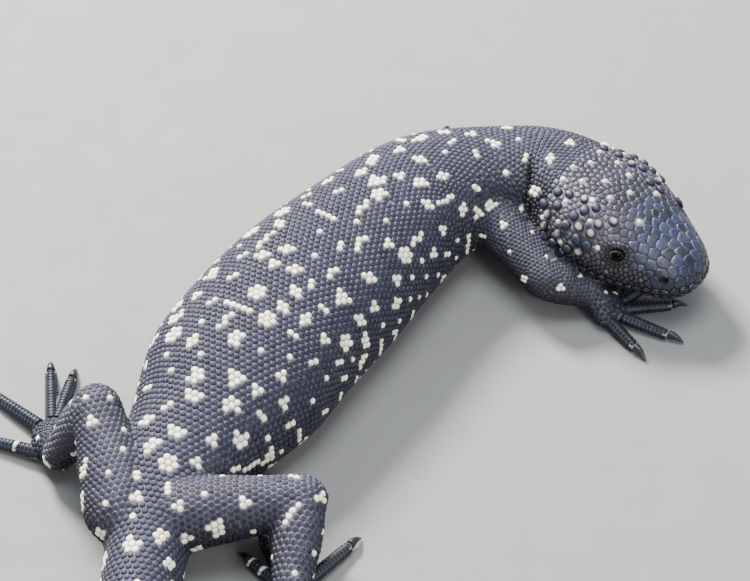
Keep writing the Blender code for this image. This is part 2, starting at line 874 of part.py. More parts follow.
def make_leg(name, leg, body_cutter):
    """Upper leg, lower leg and foot, each carved by what it grows from."""
    root, bend, end = (Vector(p) for p in leg["joints"])
    sizes = LIMB_SIZES[name.split("_")[0]]
    upper = leg_piece(name + "_upper", (root, bend), sizes["upper"])
    combine(upper, [copy_of(body_cutter, "body_copy")], "DIFFERENCE")
    lower = leg_piece(name + "_lower", (bend, end), sizes["lower"])
    cutters = [leg_piece("cut", (root, bend), sizes["upper"], GAP), copy_of(body_cutter, "body_copy")]
    combine(lower, cutters, "DIFFERENCE")
    foot = make_foot(name, leg, end)
    cutters = [
        leg_piece("cut", (bend, end), sizes["lower"], GAP),
        leg_piece("cut", (root, bend), sizes["upper"], GAP),
        copy_of(body_cutter, "body_copy"),
        floor_block(end),
    ]
    combine(foot, cutters, "DIFFERENCE")


def floor_block(above):
    """The floor under one foot, as a block."""
    reach = 0.1
    bm = bmesh.new()
    bmesh.ops.create_cube(bm, size=reach * 2)
    bmesh.ops.translate(bm, verts=bm.verts, vec=Vector((above.x, above.y, -reach)))
    mesh = bpy.data.meshes.new("floor_block")
    bm.to_mesh(mesh)
    bm.free()
    return link("floor_block", mesh, "hide")


def make_foot(name, leg, ankle):
    """A flat sole with five toes fused on, and five loose claws."""
    middle = Vector((*leg["sole"], SOLE_HEIGHT))
    way = math.radians(leg["faces"])
    ahead = Vector((math.cos(way), math.sin(way), 0))
    foot = sole_loft(name + "_foot", (ankle + ANKLE_DROP, middle, middle + ahead * SOLE_REACH))
    outer = -1 if name.endswith("left") else 1
    toes = []
    for i, (turn, length, back) in enumerate(leg["toes"]):
        aim = Matrix.Rotation(math.radians(outer * turn), 3, "Z") @ ahead
        start = middle - ahead * back + aim * TOE_START
        toes.append(make_toe(name + "_toe", start, aim, length + TOE_ROOT))
        make_claw(name + "_claw_" + str(i + 1), start + aim * (length + TOE_ROOT), aim)
    return combine(foot, toes, "UNION")


def sole_loft(name, points):
    """The ankle and sole, wide and low, with the floor under it."""
    points = [Vector(p) for p in points]
    ahead = points[-1] - points[0]
    ahead.z = 0
    ahead.normalize()
    rings = []
    for i in range(SOLE_STEPS + 1):
        share = i / SOLE_STEPS
        centre = curve_point(points, share)
        heel = max(round_off(share + 0.04, 0.25), 0.3)
        front = max(round_off(1.03 - share, 0.35), 0.2)
        radius = smooth_value(SOLE_WIDTHS, share) * heel * front
        flat = between(SOLE_FLATNESS, share)
        rings.append(circle(centre, ahead, radius, SOLE_SIDES, BELOW_FLOOR, flat))
    return loft(name, rings)


def between(ends, share):
    return ends[0] + (ends[1] - ends[0]) * share


def toe_height(share):
    return TOE_RADIUS * between(TOE_RISE, share)


def make_toe(name, start, aim, length):
    """One toe, which ends in a flat face for its claw."""
    rings = []
    for i in range(TOE_STEPS + 1):
        share = i / TOE_STEPS
        centre = start + aim * (length * share)
        centre.z = toe_height(share)
        radius = TOE_RADIUS * between(TOE_TAPER, share)
        if i == TOE_STEPS:
            radius *= TOE_FACE
        rings.append(circle(centre, aim, radius, TOE_SIDES, BELOW_FLOOR))
    return loft(name, rings)


def make_claw(name, tip, aim):
    """A curved claw that starts a gap in front of its toe's flat end."""
    rings = []
    for i in range(CLAW_STEPS + 1):
        share = i / CLAW_STEPS
        arch = CLAW_ARCH * math.sin(math.pi * share) - CLAW_DROP * share * share
        centre = tip + aim * (GAP + CLAW_LENGTH * share)
        centre.z = toe_height(1.0) + CLAW_LIFT + arch
        radius = CLAW_RADIUS * (1 - share) ** 0.75 + CLAW_POINT
        ahead = (aim + Vector((0, 0, -0.5 * share * share))).normalized()
        rings.append(circle(centre, ahead, radius, CLAW_SIDES, CLAW_LIFT))
    return loft(name, rings, "claw")


def main():
    clear_scene()
    make_body()
    make_head()
    places = spaced(VENT - 0.05, SNOUT_TIP - SNOUT_ROUND, CARVE_STEP)
    grows = [CARVE_GROW if s < HEAD_BASE else HEAD_CLEARANCE for s in places]
    rings = [even_ring(s, CARVE_SIDES, grow) for s, grow in zip(places, grows)]
    body_cutter = loft("body_cutter", rings)
    for name, leg in LEGS.items():
        make_leg(name, leg, body_cutter)
    bpy.data.objects.remove(body_cutter, do_unlink=True)


main()
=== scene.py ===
"""Looks of a still beaded lizard, life size: skin, bead scales, lips, lids, toes, claws and eyes.

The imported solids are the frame. One skin stands for every piece of flesh and lies inside them,
and solid scales stand on it: domed beads in rings round the body, larger bosses on the temples,
polygons on the crown, broad shields on the snout, plates along the lips and under the belly.
Units are metres, +Z is up and the floor is z = 0.
"""

import math
import random

import bmesh
import bpy
import numpy as np
from bpy.props import FloatProperty, FloatVectorProperty, PointerProperty
from mathutils import Matrix, Vector, kdtree
from mathutils.bvhtree import BVHTree


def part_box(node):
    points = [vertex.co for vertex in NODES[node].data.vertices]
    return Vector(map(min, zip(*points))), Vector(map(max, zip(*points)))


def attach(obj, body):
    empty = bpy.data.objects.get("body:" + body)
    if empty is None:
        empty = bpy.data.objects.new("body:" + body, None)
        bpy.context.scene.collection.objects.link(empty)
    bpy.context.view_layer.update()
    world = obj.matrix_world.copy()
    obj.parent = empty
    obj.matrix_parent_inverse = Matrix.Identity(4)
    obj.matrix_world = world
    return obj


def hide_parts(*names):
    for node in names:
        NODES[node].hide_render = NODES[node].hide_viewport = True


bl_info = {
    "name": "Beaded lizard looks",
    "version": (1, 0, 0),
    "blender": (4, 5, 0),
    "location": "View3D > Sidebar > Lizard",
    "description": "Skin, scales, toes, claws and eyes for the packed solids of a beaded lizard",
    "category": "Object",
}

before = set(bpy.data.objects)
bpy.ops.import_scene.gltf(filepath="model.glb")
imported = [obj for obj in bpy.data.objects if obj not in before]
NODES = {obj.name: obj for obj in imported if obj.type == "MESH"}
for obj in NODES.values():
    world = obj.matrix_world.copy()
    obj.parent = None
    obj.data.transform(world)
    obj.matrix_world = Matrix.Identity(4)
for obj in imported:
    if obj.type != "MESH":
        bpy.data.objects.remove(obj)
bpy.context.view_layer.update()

# The body's plan, as in the solids: distances along the spine, forward of the trunk's middle.
SNOUT_TIP = 0.252
HEAD_BASE = 0.176
NECK_BASE = 0.142
CHEST_BASE = 0.066
LOIN_BASE = -0.052
VENT = -0.136
TAIL_TIP = VENT - 0.292
LINE_STEP = 0.001

# Degrees from +X that the body faces.
HEADINGS = (
    (TAIL_TIP, 28.0), (-0.330, 45.0), (-0.230, 76.0), (VENT, 86.0), (-0.090, 65.0),
    (-0.040, 62.0), (0.020, 54.0), (0.080, 50.0), (0.115, 23.0), (0.150, -5.0),
    (HEAD_BASE, -41.0), (0.190, -42.0), (SNOUT_TIP, -42.0),
)
HALF_WIDTHS = (
    (TAIL_TIP, 0.0066), (-0.380, 0.0090), (-0.300, 0.0130), (-0.210, 0.0158), (VENT, 0.0176),
    (-0.112, 0.0240), (-0.080, 0.0300), (-0.030, 0.0430), (0.020, 0.0425), (0.070, 0.0370),
    (0.110, 0.0325), (0.145, 0.0270), (HEAD_BASE, 0.0285), (0.196, 0.0322), (0.210, 0.0300),
    (0.224, 0.0256), (0.237, 0.0200), (SNOUT_TIP, 0.0145),
)
BACK_HEIGHTS = (
    (TAIL_TIP, 0.0126), (-0.380, 0.0180), (-0.300, 0.0268), (-0.210, 0.0334), (VENT, 0.0385),
    (-0.090, 0.0460), (-0.030, 0.0560), (0.030, 0.0590), (0.090, 0.0570), (0.140, 0.0535),
    (HEAD_BASE, 0.0550), (0.198, 0.0540), (0.216, 0.0482), (0.234, 0.0400), (SNOUT_TIP, 0.0335),
)
BELLY_HEIGHTS = (
    (TAIL_TIP, -0.0006), (VENT, -0.0012), (-0.080, -0.0022), (0.030, -0.0030), (0.090, -0.0012),
    (0.130, 0.0045), (HEAD_BASE, 0.0105), (0.200, 0.0118), (0.225, 0.0120), (SNOUT_TIP, 0.0150),
)
SECTION_POWERS = (
    (TAIL_TIP, 2.0), (VENT, 2.1), (0.000, 2.3), (0.140, 2.2), (0.200, 2.5), (SNOUT_TIP, 2.3),
)
WAIST_SHARE = 0.44
# Where the head's scales take over from the neck's.
HEAD_EDGE = HEAD_BASE + 0.003
SNOUT_ROUND = 0.011
TAIL_ROUND = 0.007
# For telling how deep a point lies: the sections' usual power, and the least half width used.
MEAN_POWER, LEAST_HALF = 2.2, 0.001

# The head's features: distance behind the snout and height above the floor.
MOUTH_LINE = ((0.000, 0.0212), (0.010, 0.0202), (0.026, 0.0190), (0.038, 0.0200), (0.0475, 0.0232))
MOUTH_CORNER = 0.0475
EYE_BACK, EYE_HEIGHT, EYE_RADIUS = 0.0305, 0.0375, 0.0031
NOSTRIL_BACK, NOSTRIL_HEIGHT = 0.0088, 0.0295
EAR_BACK, EAR_HEIGHT = 0.0580, 0.0290

# Each leg: joints, the sole's middle, the way it faces, and its toes from the inner one out,
# as turn from that way in degrees, length and how far back the root lies.
LEGS = {
    "hind_left": {
        "joints": ((-0.0650, -0.1070, 0.026), (-0.0769, -0.0643, 0.040), (-0.0950, -0.0650, 0.013)),
        "sole": (-0.1000, -0.0470), "faces": 105.0,
        "toes": ((44, 0.016, 0), (24, 0.025, 0), (9, 0.029, 0), (-33, 0.028, 0), (-54, 0.024, 0.014)),
    },
    "hind_right": {
        "joints": ((-0.0385, -0.1105, 0.026), (0.0103, -0.1062, 0.030), (0.0066, -0.1490, 0.013)),
        "sole": (0.0070, -0.1370), "faces": 88.0,
        "toes": ((44, 0.016, 0), (24, 0.022, 0), (2, 0.027, 0), (-38, 0.026, 0), (-66, 0.022, 0.010)),
    },
    "fore_left": {
        "joints": ((0.0700, 0.0920, 0.026), (0.0500, 0.1120, 0.017), (0.0600, 0.1270, 0.012)),
        "sole": (0.0700, 0.1310), "faces": 18.0,
        "toes": ((46, 0.014, 0), (22, 0.018, 0), (0, 0.020, 0), (-24, 0.019, 0), (-52, 0.014, 0.003)),
    },
    "fore_right": {
        "joints": ((0.0945, 0.0715, 0.028), (0.1195, 0.0365, 0.019), (0.1420, 0.0335, 0.011)),
        "sole": (0.1480, 0.0290), "faces": 8.0,
        "toes": ((62, 0.013, 0), (36, 0.018, 0), (4, 0.020, 0), (-33, 0.019, 0), (-62, 0.014, 0.003)),
    },
}
LIMB_SIZES = {
    "hind_upper": ((0.0, 0.0165), (0.4, 0.0144), (0.8, 0.0120), (1.0, 0.0116)),
    "hind_lower": ((0.0, 0.0112), (0.3, 0.0116), (0.7, 0.0092), (1.0, 0.0080)),
    "fore_upper": ((0.0, 0.0140), (0.4, 0.0126), (0.8, 0.0108), (1.0, 0.0104)),
    "fore_lower": ((0.0, 0.0098), (0.3, 0.0100), (0.7, 0.0080), (1.0, 0.0068)),
}
SOLE_WIDTHS = ((0.0, 0.0086), (0.5, 0.0100), (1.0, 0.0112))
SOLE_HEIGHT, SOLE_REACH, ANKLE_DROP = 0.0062, 0.004, 0.002
SOLE_FLATNESS = (0.95, 0.53)
HEEL_ROUND, FRONT_ROUND = 0.25, 0.35
FOOT_STEPS, LIMB_STEPS = 12, 24
TOE_RADIUS, TOE_ROOT, TOE_START = 0.0031, 0.008, 0.003
TOE_TAPER, TOE_RISE = (1.08, 0.90), (1.75, 0.88)
TOE_TIP_BLUNT, TOE_TIP_ROUND = 0.0022, 0.003
CLAW_LENGTH, CLAW_RADIUS, CLAW_POINT = 0.0078, 0.0023, 0.00022
CLAW_ARCH, CLAW_DROP, CLAW_LIFT, CLAW_LOW = 0.0008, 0.0022, 0.0002, 0.0001
GAP = 0.0003

# The photograph's camera: what it looks at, from how far and how high, and its lens.
CAMERA_TARGET = Vector((0.0417, 0.0478, 0.0))
CAMERA_DISTANCE = 1.3
CAMERA_ELEVATION = 45.0
CAMERA_LENS = 134.2

MATERIALS = {}
# Points looked at in one go.
BATCH = 20000


def smooth_value(table, at):
    """The table's value at a place, on a curve that never overshoots its points."""
    if at <= table[0][0]:
        return table[0][1]
    if at >= table[-1][0]:
        return table[-1][1]
    last = len(table) - 1
    index = next(i for i in range(last) if at <= table[i + 1][0])

    def slope(i):
        return (table[i + 1][1] - table[i][1]) / (table[i + 1][0] - table[i][0])

    def tangent(i):
        if i == 0:
            return slope(0)
        if i == last:
            return slope(last - 1)
        before, after = slope(i - 1), slope(i)
        return 0.0 if before * after <= 0 else 2 * before * after / (before + after)

    (x0, y0), (x1, y1) = table[index], table[index + 1]
    width = x1 - x0
    t = (at - x0) / width
    return (
        y0 * (1 + 2 * t) * (1 - t) ** 2
        + tangent(index) * width * t * (1 - t) ** 2
        + y1 * t * t * (3 - 2 * t)
        + tangent(index + 1) * width * t * t * (t - 1)
    )


class Body:
    """The trunk, neck, head and tail as one loft along the spine, sampled once."""

    def __init__(self):
        self.line = np.arange(TAIL_TIP, SNOUT_TIP + LINE_STEP / 2, LINE_STEP)
        self.heading = np.radians(self.sampled(HEADINGS))
        self.half = self.sampled(HALF_WIDTHS)
        self.back = self.sampled(BACK_HEIGHTS)
        self.belly = self.sampled(BELLY_HEIGHTS)
        self.power = self.sampled(SECTION_POWERS)
        middle = (self.heading[1:] + self.heading[:-1]) / 2
        x = np.concatenate(([0.0], np.cumsum(np.cos(middle)))) * LINE_STEP
        y = np.concatenate(([0.0], np.cumsum(np.sin(middle)))) * LINE_STEP
        self.x = x - np.interp(0.0, self.line, x)
        self.y = y - np.interp(0.0, self.line, y)

    def sampled(self, table):
        return np.array([smooth_value(table, at) for at in self.line])

    def at(self, values, distance):
        return np.interp(distance, self.line, values)

    def axis(self, distance):
        return np.stack((self.at(self.x, distance), self.at(self.y, distance)), -1)

    def left(self, distance):
        angle = self.at(self.heading, distance)
        return np.stack((-np.sin(angle), np.cos(angle)), -1)

    def section(self, distance):
        """Half width, underside, waist and back, rounded off at both ends."""
        ends = rounded(SNOUT_TIP - distance, SNOUT_ROUND) * rounded(distance - TAIL_TIP, TAIL_ROUND)
        back, belly = self.at(self.back, distance), self.at(self.belly, distance)
        waist = belly + (back - belly) * WAIST_SHARE
        half = self.at(self.half, distance) * ends
        return half, waist + (belly - waist) * ends, waist, waist + (back - waist) * ends

    def hide(self, distance, turn, depth=0.0):
        """Points under the hide. turn is 0 at the belly, a quarter on the right, half on the back."""
        distance, turn = np.broadcast_arrays(np.asarray(distance, float), np.asarray(turn, float))
        half, belly, waist, back = self.section(distance)
        power = 2 / self.at(self.power, distance)
        angle = 2 * np.pi * turn
        sine, cosine = np.sin(angle), np.cos(angle)
        side = -np.sign(sine) * np.abs(sine) ** power * np.maximum(half - depth, 0)
        rise = -np.sign(cosine) * np.abs(cosine) ** power
        above = np.maximum(back - waist - depth, 0)
        below = np.maximum(waist - belly - depth, 0)
        height = waist + rise * np.where(rise > 0, above, below)
        xy = self.axis(distance) + self.left(distance) * side[..., None]
        return np.concatenate((xy, np.maximum(height, depth)[..., None]), -1)

    def locate(self, points):
        """Distance along the spine, offset to the left and depth under the hide of each point."""
        nearest = np.empty(len(points), int)
        for start in range(0, len(points), BATCH):
            part = points[start:start + BATCH]
            gap = (part[:, 0, None] - self.x) ** 2 + (part[:, 1, None] - self.y) ** 2
            nearest[start:start + BATCH] = gap.argmin(1)
        distance = self.line[nearest]
        offset = points[:, :2] - self.axis(distance)
        forward = np.stack((np.cos(self.heading[nearest]), np.sin(self.heading[nearest])), -1)
        along = (offset * forward).sum(1)
        side = (offset * self.left(distance)).sum(1)
        half, belly, waist, back = self.section(distance)
        tall = np.where(points[:, 2] > waist, back - waist, waist - belly)
        half, tall = np.maximum(half, LEAST_HALF), np.maximum(tall, LEAST_HALF)
        away = np.abs(side / half) ** MEAN_POWER + np.abs((points[:, 2] - waist) / tall) ** MEAN_POWER
        reach = away ** (1 / MEAN_POWER)
        return distance + along, side, (reach - 1) * np.minimum(half, tall)

    def turn(self, points, distance, side):
        """Share round the body of points located there."""
        return np.arctan2(-side, self.section(distance)[2] - points[:, 2]) / (2 * np.pi) % 1.0


def rounded(distance, length):
    """Share of full size at a distance from a round end of that length."""
    rest = 1 - np.clip(distance, 0, length) / length
    return np.sqrt(1 - rest * rest)


def between(ends, share):
    return ends[0] + (ends[1] - ends[0]) * share


BODY = Body()


def curve_point(points, share):
    """A point on a smooth curve through the points, share from 0 to 1 along it."""
    last = len(points) - 1
    place = min(max(share, 0.0), 1.0) * last
    i = min(int(place), last - 1)
    t = place - i
    p1, p2 = points[i], points[i + 1]
    p0 = points[i - 1] if i > 0 else p1 * 2 - p2
    p3 = points[i + 2] if i < last - 1 else p2 * 2 - p1
    return (
        p1 * 2 + (p2 - p0) * t + (p0 * 2 - p1 * 5 + p2 * 4 - p3) * t * t
        + (p1 * 3 - p0 - p2 * 3 + p3) * t ** 3
    ) / 2


def cross_axes(ahead):
    """Two directions square to a way: across it, and up."""
    across = ahead.cross(Vector((0, 0, 1)))
    if across.length < 0.2:
        across = ahead.cross(Vector((0, 1, 0)))
    across.normalize()
    return across, across.cross(ahead).normalized()


class Tube:
    """A rounded length of limb, foot or toe: a centre, a way and a radius at each share of it."""

    def __init__(self, centres, aheads, radii, flats=None):
        self.centres = centres
        self.axes = [cross_axes(ahead) for ahead in aheads]
        self.radii = radii
        self.flats = flats or [1.0] * len(radii)

    def place(self, share, turn, depth):
        """A point of its surface. turn is 0 across, a quarter on top."""
        last = len(self.centres) - 1
        at = min(max(share, 0.0), 1.0) * last
        i = min(int(at), last - 1)
        t = at - i
        centre = self.centres[i].lerp(self.centres[i + 1], t)
        across = self.axes[i][0].lerp(self.axes[i + 1][0], t).normalized()
        up = self.axes[i][1].lerp(self.axes[i + 1][1], t).normalized()
        radius = max(between((self.radii[i], self.radii[i + 1]), t) - depth, 0.0001)
        flat = between((self.flats[i], self.flats[i + 1]), t)
        angle = 2 * math.pi * turn
        point = centre + (across * math.cos(angle) + up * (math.sin(angle) * flat)) * radius
        point.z = max(point.z, depth)
        return point

    def middle(self, share):
        at = min(max(share, 0.0), 1.0) * (len(self.centres) - 1)
        i = min(int(at), len(self.centres) - 2)
        return self.centres[i].lerp(self.centres[i + 1], at - i)

    def length(self):
        return sum((b - a).length for a, b in zip(self.centres, self.centres[1:]))


def limb_tube(ends, sizes):
    """A straight limb between two joints, with round ends."""
    start, end = (Vector(p) for p in ends)
    ahead = (end - start).normalized()
    length = (end - start).length
    first, final = sizes[0][1], sizes[-1][1]
    centres, radii = [], []
    for i in range(LIMB_STEPS + 1):
        along = -first + (length + first + final) * (1 - math.cos(math.pi * i / LIMB_STEPS)) / 2
        radius = smooth_value(sizes, along / length)
        if along < 0:
            radius *= math.sqrt(max(1 - (along / first) ** 2, 0.0))
        if along > length:
            radius *= math.sqrt(max(1 - ((along - length) / final) ** 2, 0.0))
        centres.append(start + ahead * along)
        radii.append(radius)
    return Tube(centres, [ahead] * len(centres), radii)


def toe_height(share):
    return TOE_RADIUS * between(TOE_RISE, share)


def foot_tubes(name, leg):
    """The sole and the five toes of one leg, and where each claw starts and points."""
    ankle = Vector(leg["joints"][2]) - Vector((0, 0, ANKLE_DROP))
    middle = Vector((*leg["sole"], SOLE_HEIGHT))
    way = math.radians(leg["faces"])
    ahead = Vector((math.cos(way), math.sin(way), 0))
    points = [ankle, middle, middle + ahead * SOLE_REACH]
    level = points[-1] - points[0]
    level.z = 0
    level.normalize()
    centres, radii, flats = [], [], []
    for i in range(FOOT_STEPS + 1):
        share = i / FOOT_STEPS
        heel = max(float(rounded(np.float64(share + 0.04), HEEL_ROUND)), 0.3)
        front = max(float(rounded(np.float64(1.03 - share), FRONT_ROUND)), 0.2)
        centres.append(curve_point(points, share))
        radii.append(smooth_value(SOLE_WIDTHS, share) * heel * front)
        flats.append(between(SOLE_FLATNESS, share))
    sole = Tube(centres, [level] * len(centres), radii, flats)
    outer = -1 if name.endswith("left") else 1
    toes, claws = [], []
    for turn, length, back in leg["toes"]:
        aim = Matrix.Rotation(math.radians(outer * turn), 3, "Z") @ ahead
        start = middle - ahead * back + aim * TOE_START
        reach = length + TOE_ROOT
        centres, radii = [], []
        for i in range(FOOT_STEPS + 1):
            share = i / FOOT_STEPS
            centre = start + aim * (reach * share)
            centre.z = toe_height(share)
            centres.append(centre)
            tip = float(rounded(np.float64((1 - share) * reach + TOE_TIP_BLUNT), TOE_TIP_ROUND))
            radii.append(TOE_RADIUS * between(TOE_TAPER, share) * tip)
        toes.append(Tube(centres, [aim] * len(centres), radii))
        claws.append((start + aim * reach, aim))
    return sole, toes, claws


def make_tubes():
    """Every limb, sole and toe, and the claws' places by node name."""
    limbs, soles, toes, claws = [], [], [], {}
    for name, leg in LEGS.items():
        root, bend, end = leg["joints"]
        kind = name.split("_")[0]
        limbs.append(limb_tube((root, bend), LIMB_SIZES[kind + "_upper"]))
        limbs.append(limb_tube((bend, end), LIMB_SIZES[kind + "_lower"]))
        sole, own_toes, own_claws = foot_tubes(name, leg)
        soles.append(sole)
        toes += own_toes
        for i, claw in enumerate(own_claws):
            claws["%s_claw_%d" % (name, i + 1)] = claw
    return limbs, soles, toes, claws


LIMBS, SOLES, TOES, CLAWS = make_tubes()


def arithmetic(operation, reflected=False):
    """A method that adds a math node for a value and what stands beside it."""
    def method(value, other):
        return value.math(operation, *((other, value) if reflected else (value, other)))

    return method


class Value:
    """A shader socket that takes part in Python arithmetic."""

    def __init__(self, shader, socket):
        self.shader = shader
        self.socket = socket

    def math(self, operation, *values):
        sockets = {i: value for i, value in enumerate(values)}
        return self.shader.node("ShaderNodeMath", {"operation": operation}, sockets).value(0)

    __add__, __radd__ = arithmetic("ADD"), arithmetic("ADD", True)
    __sub__, __rsub__ = arithmetic("SUBTRACT"), arithmetic("SUBTRACT", True)
    __mul__, __rmul__ = arithmetic("MULTIPLY"), arithmetic("MULTIPLY", True)


class Made:
    """A node in a shader, and its outputs as values."""

    def __init__(self, shader, node):
        self.shader = shader
        self.node = node

    def value(self, output):
        return Value(self.shader, self.node.outputs[output])


class Shader:
    """A material built round one Principled surface."""

    def __init__(self, name, colour, roughness):
        self.material = bpy.data.materials.new(name)
        self.material.use_nodes = True
        self.tree = self.material.node_tree
        self.surface = self.tree.nodes["Principled BSDF"]
        self.surface.inputs["Base Color"].default_value = (*colour, 1.0)
        self.surface.inputs["Roughness"].default_value = roughness
        self.material.diffuse_color = (*colour, 1.0)
        MATERIALS[name] = self.material

    def node(self, kind, settings, inputs):
        """Adds a node: its settings first, then the values or links of its sockets."""
        node = self.tree.nodes.new(kind)
        for key, setting in settings.items():
            if key == "stops":
                self.colour_stops(node.color_ramp, setting)
            else:
                setattr(node, key, setting)
        for key, value in inputs.items():
            self.feed(node.inputs[key], value)
        return Made(self, node)

    def feed(self, socket, value):
        if isinstance(value, Value):
            self.tree.links.new(value.socket, socket)
        else:
            socket.default_value = value

    def colour_stops(self, band, stops):
        while len(band.elements) < len(stops):
            band.elements.new(0.5)
        for element, (position, colour) in zip(band.elements, stops):
            element.position = position
            element.color = (*colour, 1.0)

    def attribute(self, name, output="Fac"):
        return self.node("ShaderNodeAttribute", {"attribute_name": name}, {}).value(output)

    def place(self):
        return self.node("ShaderNodeTexCoord", {}, {}).value("Object")

    def noise(self, scale, detail=3.0, roughness=0.55):
        inputs = {"Vector": self.place(), "Scale": scale, "Detail": detail, "Roughness": roughness}
        return self.node("ShaderNodeTexNoise", {}, inputs).value("Fac")

    def cells(self, scale):
        inputs = {"Vector": self.place(), "Scale": scale}
        settings = {"feature": "DISTANCE_TO_EDGE"}
        return self.node("ShaderNodeTexVoronoi", settings, inputs).value("Distance")

    def stretch(self, value, low, high, bottom=0.0, top=1.0):
        """The value carried from low..high to bottom..top and held there."""
        inputs = {"Value": value, "From Min": low, "From Max": high, "To Min": bottom, "To Max": top}
        return self.node("ShaderNodeMapRange", {"clamp": True}, inputs).value("Result")

    def blend(self, share, first, second):
        return self.node("ShaderNodeMix", {"data_type": "RGBA"}, {0: share, 6: first, 7: second}).value(2)

    def shaded(self, colour, level):
        """A colour made darker or lighter by a value."""
        settings = {"operation": "SCALE"}
        return self.node("ShaderNodeVectorMath", settings, {0: colour, "Scale": level}).value(0)

    def bump(self, height, strength, distance):
        inputs = {"Height": height, "Strength": strength, "Distance": distance}
        self.set("Normal", self.node("ShaderNodeBump", {}, inputs).value("Normal"))

    def set(self, name, value):
        self.feed(self.surface.inputs[name], value)


def length_property(name, description, default):
    return FloatProperty(
        name=name, description=description, default=default, min=0.0, max=1.0,
        unit="LENGTH", precision=4,
    )


def colour_property(name, description, default):
    return FloatVectorProperty(
        name=name, description=description, default=default, min=0.0, max=1.0, subtype="COLOR"
    )


class LizardSizes(bpy.types.PropertyGroup):
    """Sizes of the skin and its scales."""

    voxel: length_property("Skin grain", "Size of the skin's faces", 0.0018)
    coat: length_property("Coat depth", "How far the skin lies under the hide", 0.0009)
    trunk_pitch: length_property("Trunk beads", "Distance between beads on the trunk", 0.0030)
    hip_pitch: length_property("Hip beads", "Distance between beads on hips and tail root", 0.0031)
    granule_pitch: length_property("Granules", "Distance between granules of neck and arms", 0.0020)
    boss_room: length_property("Boss room", "Least distance between two bosses of the temples", 0.0055)
    boss_size: length_property("Boss size", "Breadth of a temple's boss", 0.0057)
    tail_pitch: length_property("Tail beads", "Distance between beads at the tail's end", 0.0027)
    limb_pitch: length_property("Limb beads", "Distance between beads on the limbs", 0.0029)
    foot_pitch: length_property("Foot beads", "Distance between beads on the feet", 0.0021)
    belly_pitch: length_property("Belly plates", "Distance between plates under the belly", 0.0040)
    band_pitch: length_property("Toe bands", "Distance between the bands of a toe", 0.0019)
    mark_room: length_property("Mark room", "Least distance between two cream marks", 0.0088)


class LizardColours(bpy.types.PropertyGroup):
    """Colours of the scales and the skin between them."""

    back: colour_property("Back", "Dark beads on the back", (0.0140, 0.0148, 0.0245))
    net: colour_property("Net", "Paler feet of the dark beads and skin round them", (0.084, 0.082, 0.120))
    flank: colour_property("Flank", "Dark beads low on the flanks", (0.0150, 0.0150, 0.0195))
    crown: colour_property("Crown", "Scales on the crown", (0.0150, 0.0150, 0.0265))
    snout: colour_property("Snout", "Shields on the snout", (0.0130, 0.0182, 0.0430))
    # Lips: the labials' own near-black, also painted up the side of the face under the eye as shade.
    lips: colour_property("Lips", "Scales beside the mouth and under the eye", (0.0026, 0.0034, 0.0058))
    cream: colour_property("Cream", "Pale beads", (0.95, 0.92, 0.72))
    rose: colour_property("Rose", "Pinkish scales on the head", (0.50, 0.38, 0.33))
    gap: colour_property("Gap", "Skin between the dark beads", (0.011, 0.011, 0.016))
    lilac: colour_property("Lilac", "Pale skin lines on crown, hips and knees", (0.200, 0.182, 0.238))
    claw: colour_property("Claw", "Claws", (0.008, 0.009, 0.013))
    # Umber is the cheeks' and lids' own brown, and also the colour of the painted shade in the neck's
    # folds, behind the jaw and round the eyes.
    umber_and_shade: colour_property("Umber", "Folds of the neck and the cheeks", (0.0065, 0.0052, 0.0052))
    toe: colour_property("Toe", "Bands of the toes", (0.0078, 0.0108, 0.0180))
    joint: colour_property("Joint", "Pale rings between the toes' bands", (0.068, 0.072, 0.092))
    floor: colour_property("Floor", "The floor", (0.20, 0.198, 0.191))


def sizes():
    return bpy.context.scene.lizard_sizes


def colours():
    return bpy.context.scene.lizard_colours


def link(name, mesh, material):
    obj = bpy.data.objects.new(name, mesh)
    bpy.context.scene.collection.objects.link(obj)
    mesh.materials.clear()
    mesh.materials.append(material)
    return obj


def mesh_of(bm, name, smooth=True):
    mesh = bpy.data.meshes.new(name)
    bm.to_mesh(mesh)
    bm.free()
    if smooth:
        mesh.shade_smooth()
    return mesh


def wrapped(bm, sides, rings, place):
    """Adds a ball whose points are carried to place(share along, share round)."""
    ball = bmesh.new()
    bmesh.ops.create_uvsphere(ball, u_segments=sides, v_segments=rings, radius=1.0)
    for vert in ball.verts:
        share = math.acos(min(max(vert.co.z, -1.0), 1.0)) / math.pi
        turn = math.atan2(vert.co.y, vert.co.x) / (2 * math.pi) % 1.0
        vert.co = place(share, turn)
    bmesh.ops.recalc_face_normals(ball, faces=ball.faces)
    mesh = mesh_of(ball, "part")
    bm.from_mesh(mesh)
    bpy.data.meshes.remove(mesh)


def points_of(mesh):
    points = np.empty(len(mesh.vertices) * 3, np.float32)
    mesh.vertices.foreach_get("co", points)
    return points.reshape(-1, 3).astype(float)


def hide_facing(distance, turn):
    """A point of the hide and the way that it faces there."""
    here = BODY.hide(distance, turn)
    along = BODY.hide(distance + 0.001, turn) - BODY.hide(distance - 0.001, turn)
    round_way = BODY.hide(distance, turn + 0.002) - BODY.hide(distance, turn - 0.002)
    out = np.cross(along, round_way)
    out /= np.linalg.norm(out)
    inside = np.array((*BODY.axis(distance), BODY.section(distance)[2]))
    return Vector(here), Vector(out if out @ (here - inside) > 0 else -out)


def head_place(back, height, side_sign):
    """The hide's point beside the head at that height, and its facing. side_sign 1 is left."""
    distance = SNOUT_TIP - back
    turns = 0.5 + side_sign * 0.5 * np.arange(1, 200) / 200
    turn = turns[np.abs(BODY.hide(distance, turns)[:, 2] - height).argmin()]
    return hide_facing(distance, turn)


def facing(out):
    """Axes with X along the surface, Y up it and Z straight out."""
    z = out.normalized()
    x = Vector((0, 0, 1)).cross(z).normalized()
    return Matrix((x, z.cross(x), z)).transposed()


